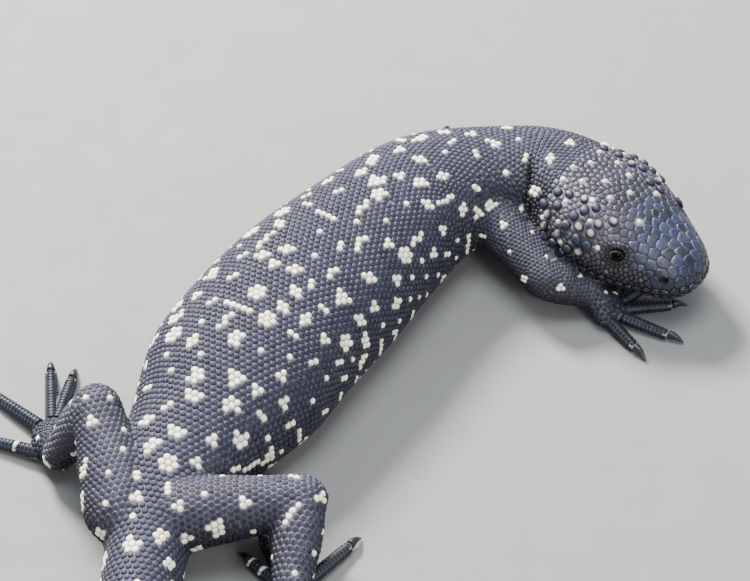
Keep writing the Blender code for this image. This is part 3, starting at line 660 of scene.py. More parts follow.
EYES = {"left": head_place(EYE_BACK, EYE_HEIGHT, 1), "right": head_place(EYE_BACK, EYE_HEIGHT, -1)}
NOSTRILS = [head_place(NOSTRIL_BACK, NOSTRIL_HEIGHT, sign) for sign in (1, -1)]
EARS = [head_place(EAR_BACK, EAR_HEIGHT, sign) for sign in (1, -1)]

# Pits in the head's skin: half width, half height and depth.
EYE_PIT = (0.0032, 0.0025, 0.0026)
NOSTRIL_PIT = (0.0021, 0.0017, 0.0030)
EAR_PIT = (0.0014, 0.0034, 0.0020)
GROOVE_DEPTH, GROOVE_WIDTH = 0.0013, 0.0008
LIP_RISE, LIP_OFFSET, LIP_WIDTH = 0.0005, 0.0024, 0.0015
BROW_RISE, BROW_OFFSET, BROW_TALL, BROW_WIDE = 0.0008, 0.0044, 0.0016, 0.0060
# How far out of the surface a pit or a brow still takes points along.
FEATURE_REACH = 0.006

# Half width and half height of the places where nothing grows, then the two rings of granules
# round an eye: how far out and how many, and how much wider than tall a ring is.
EYE_CLEAR, NOSTRIL_CLEAR, EAR_CLEAR = (0.0035, 0.0028), (0.0027, 0.0023), (0.0020, 0.0040)
LID_RINGS = ((0.0044, 15), (0.0064, 19))
LID_RING_FORM = (1.08, 0.92)
# Rows of lip plates: height over the mouth line and distance between plates.
LIP_ROWS = ((0.0025, 0.0043), (-0.0025, 0.0042))
FIRST_LIP, LIP_STEP = 0.0006, 0.0002

HOLES = [(place, EYE_PIT) for place in EYES.values()] + [(place, NOSTRIL_PIT) for place in NOSTRILS]
HOLES += [(place, EAR_PIT) for place in EARS]

# Folds across the neck: distance along the spine, depth, width and where round it they run.
FOLDS = ((0.1595, 0.0052, 0.0021, 0.14, 0.46), (0.1700, 0.0020, 0.0020, 0.05, 0.34))


def pit(points, place, size):
    """How deep a pit pushes each point, from nothing at its rim to its full depth."""
    local = local_to(points, place)
    reach = np.sqrt((local[:, 0] / size[0]) ** 2 + (local[:, 1] / size[1]) ** 2)
    near = np.abs(local[:, 2]) < FEATURE_REACH
    return np.where(near, size[2] * (1 - ramp(reach, 0.75, 0.32) ** 2) * (reach < 1.07), 0.0)


def bell(value, width):
    return np.exp(-(value / width) ** 2)


def ramp(high, low, width):
    """How far high is past low, as a share of width from 0 to 1."""
    return np.clip((high - low) / width, 0, 1)


def mouth_at(back):
    return np.interp(back, [b for b, h in MOUTH_LINE], [h for b, h in MOUTH_LINE])


def off_back(turn):
    """How far round from the middle of the back: 0 on it, 1 at the side, 2 under the belly."""
    return np.abs(turn - 0.5) * 4


def on_head(owner, along):
    return (owner < 0) & (along > HEAD_EDGE)


def fold_bend(turn):
    """How far forward a fold of the neck swings on its way round."""
    return 0.004 * np.sin(9 * turn)


def from_eyes(points):
    """How far each point lies from the nearer eye."""
    return np.min([np.linalg.norm(points - np.array(here), axis=1) for here, _ in EYES.values()], axis=0)


def local_to(points, place):
    """The points in a place's own axes: along the surface, up it and straight out."""
    here, out = place
    return (points - np.array(here)) @ np.array(facing(out))


def tree_of(points):
    """The points kept for finding the nearest."""
    near = kdtree.KDTree(len(points))
    for i, point in enumerate(points):
        near.insert(point, i)
    near.balance()
    return near


def neighbours(points, count, chosen=None):
    """The nearest points to each one, or to each of the chosen."""
    near = tree_of(points)
    wanted = range(len(points)) if chosen is None else chosen
    return np.array([[index for _, index, _ in near.find_n(points[i], count + 1)[1:]] for i in wanted])


def shape_head(points, normals):
    """The skin's points moved for the mouth line, lips, sockets, nostrils, ears and neck folds."""
    distance, side, depth = BODY.locate(points)
    own = np.abs(depth) < 0.004
    back = SNOUT_TIP - distance
    above = points[:, 2] - mouth_at(back)
    fade = ramp(MOUTH_CORNER + 0.002, back, 0.004) * own
    groove = GROOVE_DEPTH * bell(above, GROOVE_WIDTH)
    lips = LIP_RISE * bell(np.abs(above) - LIP_OFFSET, LIP_WIDTH)
    push = (groove - lips) * fade
    for place, size in HOLES:
        push = push + pit(points, place, size)
        if size == EYE_PIT:
            local = local_to(points, place)
            brow = BROW_RISE * bell(local[:, 1] - BROW_OFFSET, BROW_TALL) * bell(local[:, 0], BROW_WIDE)
            push = push - brow * (np.abs(local[:, 2]) < FEATURE_REACH)
    turn = BODY.turn(points, distance, side)
    for at, deep, width, start, end in FOLDS:
        reach = ramp(turn, start, 0.06) * ramp(end, turn, 0.08)
        push = push + deep * bell(distance - at - fold_bend(turn), width) * reach * own
    return points - normals * push[:, None]


def hide_material(name, own, sheen, pitted=0.0):
    """Skin or scales: the scale's own tint with painted shade darker towards its root, wrinkled and pitted.
    """
    c = colours()
    shader = Shader(name, c.back, 0.5)
    shader.surface.inputs["Specular IOR Level"].default_value = sheen
    tint = shader.attribute("tint", "Color")
    rise = shader.attribute("rise")
    gloss = shader.attribute("gloss")
    mottle = shader.stretch(shader.noise(420.0, 2.0), 0.3, 0.7, 0.80, 1.18)
    grain = shader.stretch(shader.noise(1900.0, 3.0, 0.65), 0.3, 0.7, 0.82, 1.16)
    # Painted shade: each scale darkens towards its root, where it meets its neighbours, as its rise
    # attribute says.
    shade = shader.stretch(rise, 0.0, 0.60, 0.42, 1.0)
    level = mottle * grain * shade if own else mottle * grain
    shader.set("Base Color", shader.shaded(tint, level))
    rough = shader.stretch(gloss, 0.0, 1.0, 0.66, 0.15) + (shader.noise(1500.0, 2.0) - 0.5) * 0.16
    shader.set("Roughness", rough)
    wrinkles = shader.cells(2300.0) * 0.5 + shader.noise(3800.0, 2.0) * 0.6
    wrinkles = wrinkles + shader.noise(1100.0, 3.0) * pitted
    shader.bump(wrinkles, 0.32 + 0.12 * pitted, 0.00012 + 0.00006 * pitted)
    return shader.material


def claw_material():
    """Dark horn: streaked along its length, paler at the worn point."""
    c = colours()
    shader = Shader("claw_horn", c.claw, 0.36)
    tip = shader.attribute("rise")
    streak = shader.stretch(shader.noise(900.0, 4.0, 0.65), 0.3, 0.75, 0.6, 1.7)
    base = shader.blend(shader.stretch(tip, 0.62, 1.0, 0.0, 0.35), (*c.claw, 1.0), (0.10, 0.085, 0.07, 1.0))
    shader.set("Base Color", shader.shaded(base, streak))
    shader.set("Roughness", shader.stretch(shader.noise(1400.0), 0.3, 0.7, 0.30, 0.48))
    shader.bump(shader.noise(2100.0, 4.0, 0.7), 0.25, 0.00015)
    return shader.material


def eye_material(name, centre, out):
    """A wet dark eye: a round black pupil in a brown iris, darker towards the lids."""
    shader = Shader(name, (0.006, 0.004, 0.004), 0.12)
    subtract, dot = {"operation": "SUBTRACT"}, {"operation": "DOT_PRODUCT"}
    offset = shader.node("ShaderNodeVectorMath", subtract, {0: shader.place(), 1: centre[:]}).value(0)
    ahead = shader.node("ShaderNodeVectorMath", dot, {0: offset, 1: out[:]}).value(1)
    ring = ahead * (1 / EYE_RADIUS)
    stops = (
        (0.0, (0.003, 0.002, 0.002)), (0.45, (0.004, 0.003, 0.003)), (0.66, (0.008, 0.005, 0.004)),
        (0.80, (0.006, 0.004, 0.003)), (0.86, (0.002, 0.0015, 0.0015)), (1.0, (0.001, 0.001, 0.001)),
    )
    iris = shader.node("ShaderNodeValToRGB", {"stops": stops}, {"Fac": ring}).value("Color")
    streak = shader.stretch(shader.noise(2400.0, 3.0), 0.3, 0.7, 0.7, 1.25)
    shader.set("Base Color", shader.shaded(iris, streak))
    shader.surface.inputs["Specular IOR Level"].default_value = 0.05
    shader.surface.inputs["Coat Weight"].default_value = 0.02
    shader.surface.inputs["Coat Roughness"].default_value = 0.04
    return shader.material


def floor_material():
    """Pale matt board with a faint grain."""
    c = colours()
    shader = Shader("floor_board", c.floor, 0.8)
    grain = shader.stretch(shader.noise(14.0, 4.0), 0.3, 0.7, 0.975, 1.02)
    shader.set("Base Color", shader.shaded((*c.floor,), grain))
    shader.set("Roughness", shader.stretch(shader.noise(60.0), 0.3, 0.7, 0.75, 0.88))
    return shader.material


BODY_SIDES, BODY_RINGS = 72, 300
TUBE_SIDES, TUBE_RINGS, BAND_SIDES = 24, 24, 26


def capsule(bm, tube, depth):
    """Adds a tube's closed form to a bmesh, its ends drawn in to their centres."""
    def place(share, turn):
        ring = share * TUBE_RINGS
        along = min(max((ring - 1) / (TUBE_RINGS - 2), 0.0), 1.0)
        if ring < 0.5 or ring > TUBE_RINGS - 0.5:
            return tube.middle(along)
        return tube.place(along, turn, depth)

    wrapped(bm, TUBE_SIDES, TUBE_RINGS, place)


def applied(obj):
    """The object's mesh with its modifiers applied, and the object removed."""
    graph = bpy.context.evaluated_depsgraph_get()
    mesh = bpy.data.meshes.new_from_object(obj.evaluated_get(graph))
    bpy.data.objects.remove(obj)
    return mesh


class Hide:
    """The skin's surface, for setting scales on it."""

    def __init__(self, bm):
        bm.verts.ensure_lookup_table()
        self.tree = BVHTree.FromBMesh(bm)
        self.points = np.array([vert.co[:] for vert in bm.verts])
        self.normals = np.array([vert.normal[:] for vert in bm.verts])
        self.near = tree_of(self.points)

    def snap(self, point):
        return self.tree.find_nearest(point)[0]

    def faces(self, point, count=9):
        """The way that the skin faces round a point, smoothed over its nearest vertices."""
        found = [index for _, index, _ in self.near.find_n(point, count)]
        out = self.normals[found].sum(0)
        return out / max(np.linalg.norm(out), 1e-9)


# What the skin's operator leaves for the scales' one: the hide, its seeds and their looks.
HIDE = {}


def tube_survey(tube, points):
    """Share along a tube, turn as on the body, and depth under its surface."""
    centres = np.array([c[:] for c in tube.centres])
    nearest = np.empty(len(points), int)
    for start in range(0, len(points), BATCH):
        part = points[start:start + BATCH]
        nearest[start:start + BATCH] = ((part[:, None] - centres) ** 2).sum(2).argmin(1)
    across = np.array([axes[0][:] for axes in tube.axes])[nearest]
    up = np.array([axes[1][:] for axes in tube.axes])[nearest]
    offset = points - centres[nearest]
    x = (offset * across).sum(1)
    y = (offset * up).sum(1) / np.array(tube.flats)[nearest]
    ahead = np.cross(up, across)
    along = np.abs((offset * ahead).sum(1))
    radius = np.array(tube.radii)[nearest]
    turn = np.arctan2(x, -y) / (2 * np.pi) % 1.0
    depth = np.sqrt(x * x + y * y + np.where(along > 0.002, along, 0.0) ** 2) - radius
    return nearest / (len(centres) - 1), turn, depth


def survey(points):
    """For each point: which length of body or limb it lies on (-1 is the body), how far along and
    round it. Along is metres on the spine or a share of a tube."""
    distance, side, depth = BODY.locate(points)
    turn = BODY.turn(points, distance, side)
    owner = np.full(len(points), -1)
    best = np.abs(depth + SKIN_DEPTH)
    for index, tube in enumerate(LIMBS + SOLES + TOES):
        beside = np.abs(points[:, :2] - np.array(tube.centres[0])[:2]) < LONGEST_TUBE
        near = np.nonzero(beside.all(1))[0]
        if len(near) == 0:
            continue
        share, round_it, under = tube_survey(tube, points[near])
        closer = np.abs(under + SKIN_DEPTH) < best[near]
        if index >= FIRST_TOE:
            closer &= share * tube.length() > BAND_START - BAND_LAP
        mine = near[closer]
        owner[mine] = index
        distance[mine] = share[closer]
        turn[mine] = round_it[closer]
        best[mine] = np.abs(under + SKIN_DEPTH)[closer]
    return owner, distance, turn


# How deep under the hide the skin lies, and farther than any tube reaches from its root.
SKIN_DEPTH, LONGEST_TUBE = 0.0009, 0.07
FIRST_ARM = 4
FIRST_SOLE = len(LIMBS)
FIRST_TOE = FIRST_SOLE + len(SOLES)
# Where a toe's bands begin, and how far they lap over the foot's scales before them.
BAND_START, BAND_LAP = 0.0052, 0.0006


def unwrap(owner, along, turn):
    """Each point's place on the unwrap: the body on the lower part, limbs and feet in cells above."""
    body = owner < 0
    u = np.where(body, (along - TAIL_TIP) / (SNOUT_TIP - TAIL_TIP) * 0.97 + 0.015, 0.0)
    v = np.where(body, 0.015 + turn * 0.53, 0.0)
    limb = (owner >= 0) & (owner < FIRST_TOE)
    cell = np.where(limb, owner, 0)
    u = np.where(limb, 0.012 + (cell % 6) * 0.165 + along * 0.145, u)
    v = np.where(limb, 0.57 + (cell // 6) * 0.165 + turn * 0.145, v)
    toe = owner >= FIRST_TOE
    cell = np.where(toe, owner - FIRST_TOE, 0)
    u = np.where(toe, 0.01 + (cell % 10) * 0.0985 + along * 0.09, u)
    v = np.where(toe, 0.905 + (cell // 10) * 0.045 + turn * 0.04, v)
    return u, v


def temple_share(points, distance, turn):
    """Where the temples' bosses stand: behind the eye, from the crown's edge to the mouth."""
    back = SNOUT_TIP - distance
    aside = off_back(turn)
    above = points[:, 2] - mouth_at(back)
    share = ramp(aside, 0.30, 0.16) * ramp(back, 0.033, 0.006)
    return share * ramp(0.077, back, 0.006) * ramp(above, 0.0015, 0.004)


def cheek_share(points, distance, turn):
    """Where the small scales between eye and mouth lie."""
    back = SNOUT_TIP - distance
    above = points[:, 2] - mouth_at(back)
    share = ramp(above, 0.0045, 0.001) * ramp(0.0150, above, 0.002)
    return share * ramp(back, 0.013, 0.004) * ramp(0.046, back, 0.006)


# Pitch and height in millimetres and flatness of the head's scales, by distance behind the snout.
HEAD_SCALES = (
    ((0.0, 0.010, 0.020, 0.032, 0.044, 0.070, 0.078), (5.0, 6.4, 6.0, 4.6, 3.6, 3.3, 2.9)),
    ((0.0, 0.020, 0.032, 0.046, 0.070), (0.40, 0.45, 0.60, 0.80, 1.00)),
    ((0.0, 0.028, 0.044, 0.060, 0.074), (1.0, 1.0, 0.75, 0.5, 0.1)),
)


def head_forms(points, distance, turn):
    """Pitch, height and flatness of a scale at each place on the head."""
    back = SNOUT_TIP - distance
    above = points[:, 2] - mouth_at(back)
    near_eye = from_eyes(points)
    pitch, height, flat = (np.interp(back, *table) for table in HEAD_SCALES)
    for share, size, rise, level in (
        (temple_share(points, distance, turn), 2.7, 0.75, 0.2),
        (cheek_share(points, distance, turn), 2.7, 0.70, 0.4),
        (ramp(0.0085, near_eye, 0.002), 2.3, 0.55, 0.2),
        (ramp(0.0052, np.abs(above), 0.001) * (back < MOUTH_CORNER), 4.2, 0.85, 0.3),
        (ramp(-above, 0.001, 0.003), 3.5, 0.75, 0.5),
    ):
        pitch = pitch + (size - pitch) * share
        height = height + (rise - height) * share
        flat = flat + (level - flat) * share
    return pitch / 1000, height / 1000, flat


def trunk_pitch(distance):
    s = sizes()
    stops = (TAIL_TIP, VENT - 0.05, VENT + 0.02, LOIN_BASE, 0.0, CHEST_BASE, NECK_BASE, HEAD_BASE)
    values = (
        s.tail_pitch, s.tail_pitch * 1.14, s.hip_pitch, s.hip_pitch * 0.96, s.trunk_pitch,
        s.trunk_pitch * 0.97, s.trunk_pitch * 0.88, s.trunk_pitch * 0.80,
    )
    return np.interp(distance, stops, values)


def granular(owner, along, turn):
    """How far fine granules take the place of beads: the neck's sides and the arms."""
    aside = off_back(turn)
    neck = ramp(along, 0.108, 0.024) * ramp(aside, 0.26, 0.30)
    arm = (owner >= FIRST_ARM) & (owner < FIRST_SOLE)
    return np.where(owner < 0, neck, arm * 1.0)


BOSS_HEIGHT = 0.34
# The height of a belly plate, and of what lies near the floor.
PLATE_HEIGHT = 0.00075
# Rows stand closer than beads in a row, by this share of the pitch.
ROW_SHARE = 0.885


def forms(points, owner, along, turn, normals, boss):
    """Pitch, height and flatness of a scale anywhere on the skin. boss is true for a boss."""
    s = sizes()
    pitch = np.where(owner < 0, trunk_pitch(along), s.limb_pitch)
    pitch = pitch + (s.granule_pitch - pitch) * granular(owner, along, turn)
    height = pitch * np.where(owner < 0, np.interp(along, (-0.13, -0.06), (0.27, 0.38)), 0.32)
    flat = np.full(len(points), 0.05)
    sole = owner >= FIRST_SOLE
    pitch = np.where(sole, s.foot_pitch, pitch)
    height = np.where(sole, s.foot_pitch * 0.30, height)
    head = on_head(owner, along)
    own = head_forms(points, along, turn)
    pitch = np.where(head, own[0], pitch)
    height = np.where(head, own[1], height)
    flat = np.where(head, own[2], flat)
    under = ramp(-normals[:, 2], 0.35, 0.35) * (owner < 0) * ~head
    pitch = pitch + (s.belly_pitch - pitch) * under
    low = ramp(0.006, points[:, 2], 0.004) * (normals[:, 2] < -0.2)
    height = height + (PLATE_HEIGHT - height) * np.maximum(under, low)
    flat = np.maximum(flat, 0.8 * np.maximum(under, low))
    pitch, height = np.where(boss, s.boss_size, pitch), np.where(boss, s.boss_size * BOSS_HEIGHT, height)
    return pitch, height, np.where(boss, 0.0, flat)


def along_ring(ring, pitch, odd):
    """Places a pitch apart both ways from a ring's first point, half a pitch on in odd rings."""
    run = np.concatenate(([0.0], np.cumsum(np.linalg.norm(np.diff(ring, axis=0), axis=1))))
    steps = (np.arange(int(run[-1] / 2 / pitch) + 1) + (0.5 if odd else 0.0)) * pitch
    steps = steps[steps < run[-1] / 2 - pitch * 0.3]
    places = np.concatenate((steps, run[-1] - steps[steps > 0]))
    return np.stack([np.interp(places, run, ring[:, k]) for k in range(3)], 1)


def ring_seeds():
    """Seeds in rings round the body and the limbs, every other ring set on by half."""
    s = sizes()
    rows = []
    distance, odd = TAIL_TIP + 0.002, False
    turns = np.linspace(0.5, 1.5, 721) % 1.0
    while distance < HEAD_BASE + 0.004:
        pitch = float(trunk_pitch(distance))
        rows.append(along_ring(BODY.hide(distance, turns, s.coat), pitch, odd))
        distance += pitch * ROW_SHARE
        odd = not odd
    for index, tube in enumerate(LIMBS):
        pitch = s.limb_pitch if index < FIRST_ARM else s.granule_pitch
        count = max(int(tube.length() / (pitch * ROW_SHARE)), 2)
        for i in range(count):
            share = math.acos(1 - 2 * (i + 0.5) / count) / math.pi
            ring = np.array([tube.place(share, 0.25 + k / 60, s.coat)[:] for k in range(61)])
            if np.ptp(ring, axis=0).max() > pitch * 1.5:
                rows.append(along_ring(ring, pitch, i % 2 == 1))
    return np.concatenate(rows)


def lip_seeds():
    """Plates in one row above and one below the mouth, round the snout, on both sides."""
    rows = []
    for rise, pitch in LIP_ROWS:
        for sign in (1, -1):
            back, last = FIRST_LIP, None
            while back < MOUTH_CORNER + 0.001:
                here, _ = head_place(back, float(mouth_at(back)) + rise, sign)
                if last is None or (here - last).length > pitch:
                    rows.append(here)
                    last = here
                back += LIP_STEP
    return np.array([row[:] for row in rows])


def lid_seeds():
    """Granules in two rings round each eye."""
    rows = []
    for here, out in EYES.values():
        axes = facing(out)
        wide, tall = LID_RING_FORM
        for reach, count in LID_RINGS:
            for k in range(count):
                angle = 2 * math.pi * (k + 0.5) / count
                step = Vector((reach * wide * math.cos(angle), reach * tall * math.sin(angle), 0))
                rows.append((here + axes @ step)[:])
    return np.array(rows)


class Grid:
    """Points kept by cell, for finding those close to a place."""

    def __init__(self, cell):
        self.cell = cell
        self.cells = {}

    def key(self, point):
        return tuple(int(math.floor(value / self.cell)) for value in point)

    def add(self, point):
        self.cells.setdefault(self.key(point), []).append(point)

    def taken(self, point, reach):
        x, y, z = self.key(point)
        for i in (x, x - 1, x + 1):
            for j in (y, y - 1, y + 1):
                for k in (z, z - 1, z + 1):
                    for other in self.cells.get((i, j, k), ()):
                        gap = (point[0] - other[0]) ** 2 + (point[1] - other[1]) ** 2
                        if gap + (point[2] - other[2]) ** 2 < reach * reach:
                            return True
        return False


# The grid's cell, and how firmly the seeds in rings, and those that fill in on head and body, stay.
CELL = 0.006
RING_HOLD, HEAD_HOLD, FILL_HOLD = 0.6, 0.3, 0.2
JITTER = 0.00026


def kept_clear(points):
    """Which places lie in an eye, a nostril or an ear, where nothing grows."""
    clear = np.zeros(len(points), bool)
    holes = [(place, EYE_CLEAR) for place in EYES.values()]
    holes += [(place, NOSTRIL_CLEAR) for place in NOSTRILS] + [(place, EAR_CLEAR) for place in EARS]
    for place, (wide, tall) in holes:
        local = local_to(points, place)
        inside = (local[:, 0] / wide) ** 2 + (local[:, 1] / tall) ** 2 < 1
        clear |= inside & (np.abs(local[:, 2]) < FEATURE_REACH)
    return clear


def forms_at(hide, points, boss):
    """Facing, owner, place and form of the scales at these points."""
    normals = np.array([hide.faces(p) for p in points])
    owner, along, turn = survey(points)
    return (normals, owner, along, turn, *forms(points, owner, along, turn, normals, boss))


def settle(hide, points, fixed, boss, rounds):
    """Moves seeds apart along the skin until they lie evenly. fixed is 1 where one stays."""
    loose = np.nonzero(fixed < 1)[0]
    for turn in range(rounds):
        if turn % 3 == 0:
            pitch = forms_at(hide, points, boss)[4]
        around = neighbours(points, 9, loose)
        gap = points[loose][:, None] - points[around]
        reach = np.linalg.norm(gap, axis=2)
        room = 0.56 * (pitch[loose][:, None] + pitch[around])
        push = np.clip(room - reach, 0, None) / np.maximum(reach, 1e-6)
        move = (gap * push[:, :, None]).sum(1) * 0.30 * (1 - fixed[loose])[:, None]
        limit = np.linalg.norm(move, axis=1) / (0.3 * pitch[loose])
        move /= np.maximum(limit, 1.0)[:, None]
        for row, i in enumerate(loose):
            points[i] = hide.snap(points[i] + move[row])
    return points


def boss_seeds(hide, chance):
    """Places for the temples' bosses, well apart."""
    owner, along, turn = survey(hide.points)
    zone = temple_share(hide.points, along, turn) * (owner < 0) * ~kept_clear(hide.points)
    grid, kept = Grid(CELL), []
    for point in hide.points[chance.permutation(np.nonzero(zone > 0.7)[0])]:
        if not grid.taken(point, sizes().boss_room):
            grid.add(point)
            kept.append(point)
    return np.array(kept)


def seeds(hide):
    """Where each scale grows on the skin, with its pitch, height, flatness and facing."""
    chance = np.random.default_rng(11)
    rings = ring_seeds()
    rings = rings + chance.normal(0, JITTER, rings.shape)
    bosses, grid = Grid(CELL), Grid(CELL)
    kept, hold, boss = [], [], []
    sets = (
        (lip_seeds(), 1.0, 0.0030, False), (lid_seeds(), 1.0, 0.0030, False),
        (boss_seeds(hide, chance), 0.8, 0.0010, True), (rings, RING_HOLD, 0.0013, False),
    )
    for points, fixed, reach, big in sets:
        snapped = np.array([hide.snap(p) for p in points])
        snapped = snapped[np.linalg.norm(snapped - points, axis=1) < reach]
        _, owner, along, turn, pitch, _, _ = forms_at(hide, snapped, big)
        grows = ~kept_clear(snapped) & (owner < FIRST_TOE)
        if fixed == RING_HOLD:
            grows &= ~on_head(owner, along)
            grows &= (granular(owner, along, turn) < 0.2) | (owner >= 0)
        for point, size, good in zip(snapped, pitch, grows):
            room = 0.70 if big else 0.62 if fixed < 1 else 0.5
            if good and not grid.taken(point, size * room):
                grid.add(point)
                kept.append(point)
                hold.append(fixed)
                boss.append(big)
                if big:
                    bosses.add(point)
    _, owner, along, _, pitch, _, _ = forms_at(hide, hide.points, False)
    grows = ~kept_clear(hide.points) & (owner < FIRST_TOE)
    head = (owner < 0) & (along > HEAD_BASE + 0.001)
    order = chance.permutation(np.nonzero(grows)[0])
    order = np.concatenate((order[head[order]], order[~head[order]]))
    for i in order:
        point = hide.points[i]
        room = chance.uniform(0.60, 0.80) if head[i] else 0.76
        if not grid.taken(point, pitch[i] * room) and not bosses.taken(point, sizes().boss_size * 0.62):
            grid.add(point)
            kept.append(point)
            hold.append(HEAD_HOLD if head[i] else FILL_HOLD)
            boss.append(False)
    boss = np.array(boss)
    points = settle(hide, np.array(kept), np.array(hold), boss, 9)
    clear = ~kept_clear(points)
    points, boss = points[clear], boss[clear]
    names = ("normals", "owner", "along", "turn", "pitch", "height", "flat")
    return {"points": points, "boss": boss, **dict(zip(names, forms_at(hide, points, boss)))}


# Kinds of cream mark, how often each comes in each area, the room between marks there as a share
# of the usual one, and from how few to how many scales each kind has.
MARK_KINDS = ("rosette", "patch", "bar", "pair", "single")
MARK_SHARES = {
    "back": (0.22, 0.30, 0.12, 0.18, 0.18), "flank": (0.03, 0.17, 0.14, 0.32, 0.34),
    "hips": (0.50, 0.16, 0.06, 0.12, 0.16),
    "limb": (0.10, 0.16, 0.06, 0.16, 0.52), "neck": (0.06, 0.22, 0.04, 0.20, 0.48),
}
MARK_ROOMS = {"back": 1.12, "flank": 0.93, "hips": 1.28, "limb": 1.25, "neck": 1.25}
MARK_COUNTS = {"rosette": (5, 7), "patch": (3, 4), "bar": (3, 5), "pair": (2, 2), "single": (1, 1)}


def marks(seed):
    """Which scales are cream: rosettes, bars, pairs and single beads, kept apart by dark ones."""
    chance = random.Random(23)
    points, owner, along, turn = seed["points"], seed["owner"], seed["along"], seed["turn"]
    around = neighbours(points, 8)
    room = sizes().mark_room
    cream = np.zeros(len(points), bool)
    shut = np.zeros(len(points), bool)
    head = on_head(owner, along)
    aside = off_back(turn)
    order = list(range(len(points)))
    chance.shuffle(order)
    centres = Grid(room * 1.6)
    for first in order:
        if shut[first] or cream[first] or kept_dark(seed, first, head[first], aside[first], chance):
            continue
        neck = owner[first] < 0 and along[first] > NECK_BASE - 0.02
        area = "neck" if neck else "flank" if aside[first] > 0.75 else "back"
        area = "hips" if along[first] < LOIN_BASE - 0.02 else area
        area = "limb" if owner[first] >= 0 else area
        space = room * (0.92 if head[first] else chance.uniform(0.9, 1.25) * MARK_ROOMS[area])
        if centres.taken(points[first], space):
            continue
        kind = "single" if head[first] else chance.choices(MARK_KINDS, MARK_SHARES[area])[0]
        count = chance.randint(*MARK_COUNTS[kind]) - (2 if neck and kind == "rosette" else 0)
        group = grown(seed, around, first, kind, count, shut, area, chance)
        middle = points[group].mean(0)
        centres.add(middle)
        cream[group] = True
        for i in group:
            reach = np.linalg.norm(points[around[i]] - points[i], axis=1)
            shut[around[i][reach < seed["pitch"][i] * 1.35]] = True
    return cream


def kept_dark(seed, i, head, aside, chance):
    """Places where no mark starts: snout, temples, nape, soles and belly."""
    along, normal = seed["along"][i], seed["normals"][i]
    if seed["owner"][i] >= FIRST_SOLE:
        return chance.random() < 0.8
    if head:
        back = SNOUT_TIP - along
        point = seed["points"][i]
        near_eye = min((Vector(point) - here).length for here, _ in EYES.values()) < 0.009
        if seed["boss"][i] or near_eye or back < 0.020 or point[2] < mouth_at(back) + 0.010:
            return True
        return aside > 0.42 and chance.random() < 0.72 or chance.random() < (0.060 - back) * 30
    if seed["owner"][i] < 0 and abs(along - FOLDS[0][0]) < 0.005 and aside < 1.2:
        return chance.random() < 0.85
    return normal[2] < -0.3 and chance.random() < 0.7


def grown(seed, around, first, kind, count, shut, area, chance):
    """A mark's scales, grown from its first one over the neighbours that are still free."""
    points = seed["points"]
    group = [first]
    on_body = seed["owner"][first] < 0
    heading = BODY.at(BODY.heading, seed["along"][first]) if on_body else chance.uniform(0, 3)
    way = np.array((math.cos(heading), math.sin(heading), 0.0))
    if kind == "bar" and (area == "flank" or chance.random() < 0.45):
        way = np.cross(seed["normals"][first], way)
    while len(group) < count:
        best, lowest = None, 1e9
        middle = points[group].mean(0)
        for i in group:
            for j in around[i]:
                reach = np.linalg.norm(points[j] - points[i])
                if j in group or shut[j] or reach > seed["pitch"][i] * 1.3:
                    continue
                gap = points[j] - middle
                score = np.linalg.norm(gap)
                if kind == "bar":
                    score = np.linalg.norm(gap - way * (gap @ way)) * 1.7 - abs(gap @ way) * 0.3
                score += chance.random() * seed["pitch"][i] * 0.95
                if score < lowest:
                    best, lowest = j, score
        if best is None:
            break
        group.append(best)
    return group


def mixed(first, second, share):
    share = np.asarray(share)[..., None]
    return np.asarray(first) * (1 - share) + np.asarray(second) * share


def fold_shade(owner, along, turn):
    """How much painted shade lies in the folds of the neck and on its side behind the jaw, from nothing
    beside them to all of it in them.
    """
    aside = off_back(turn)
    shade = bell(along - FOLDS[0][0] - fold_bend(turn), 0.0048) * ramp(1.5, aside, 0.3)
    shade = shade * ramp(0.47, turn, 0.06)
    jaw = bell(along - 0.166, 0.015) * ramp(aside, 0.42, 0.2)
    return np.clip(np.maximum(shade * 1.15, jaw * 0.9), 0, 1) * (owner < 0)


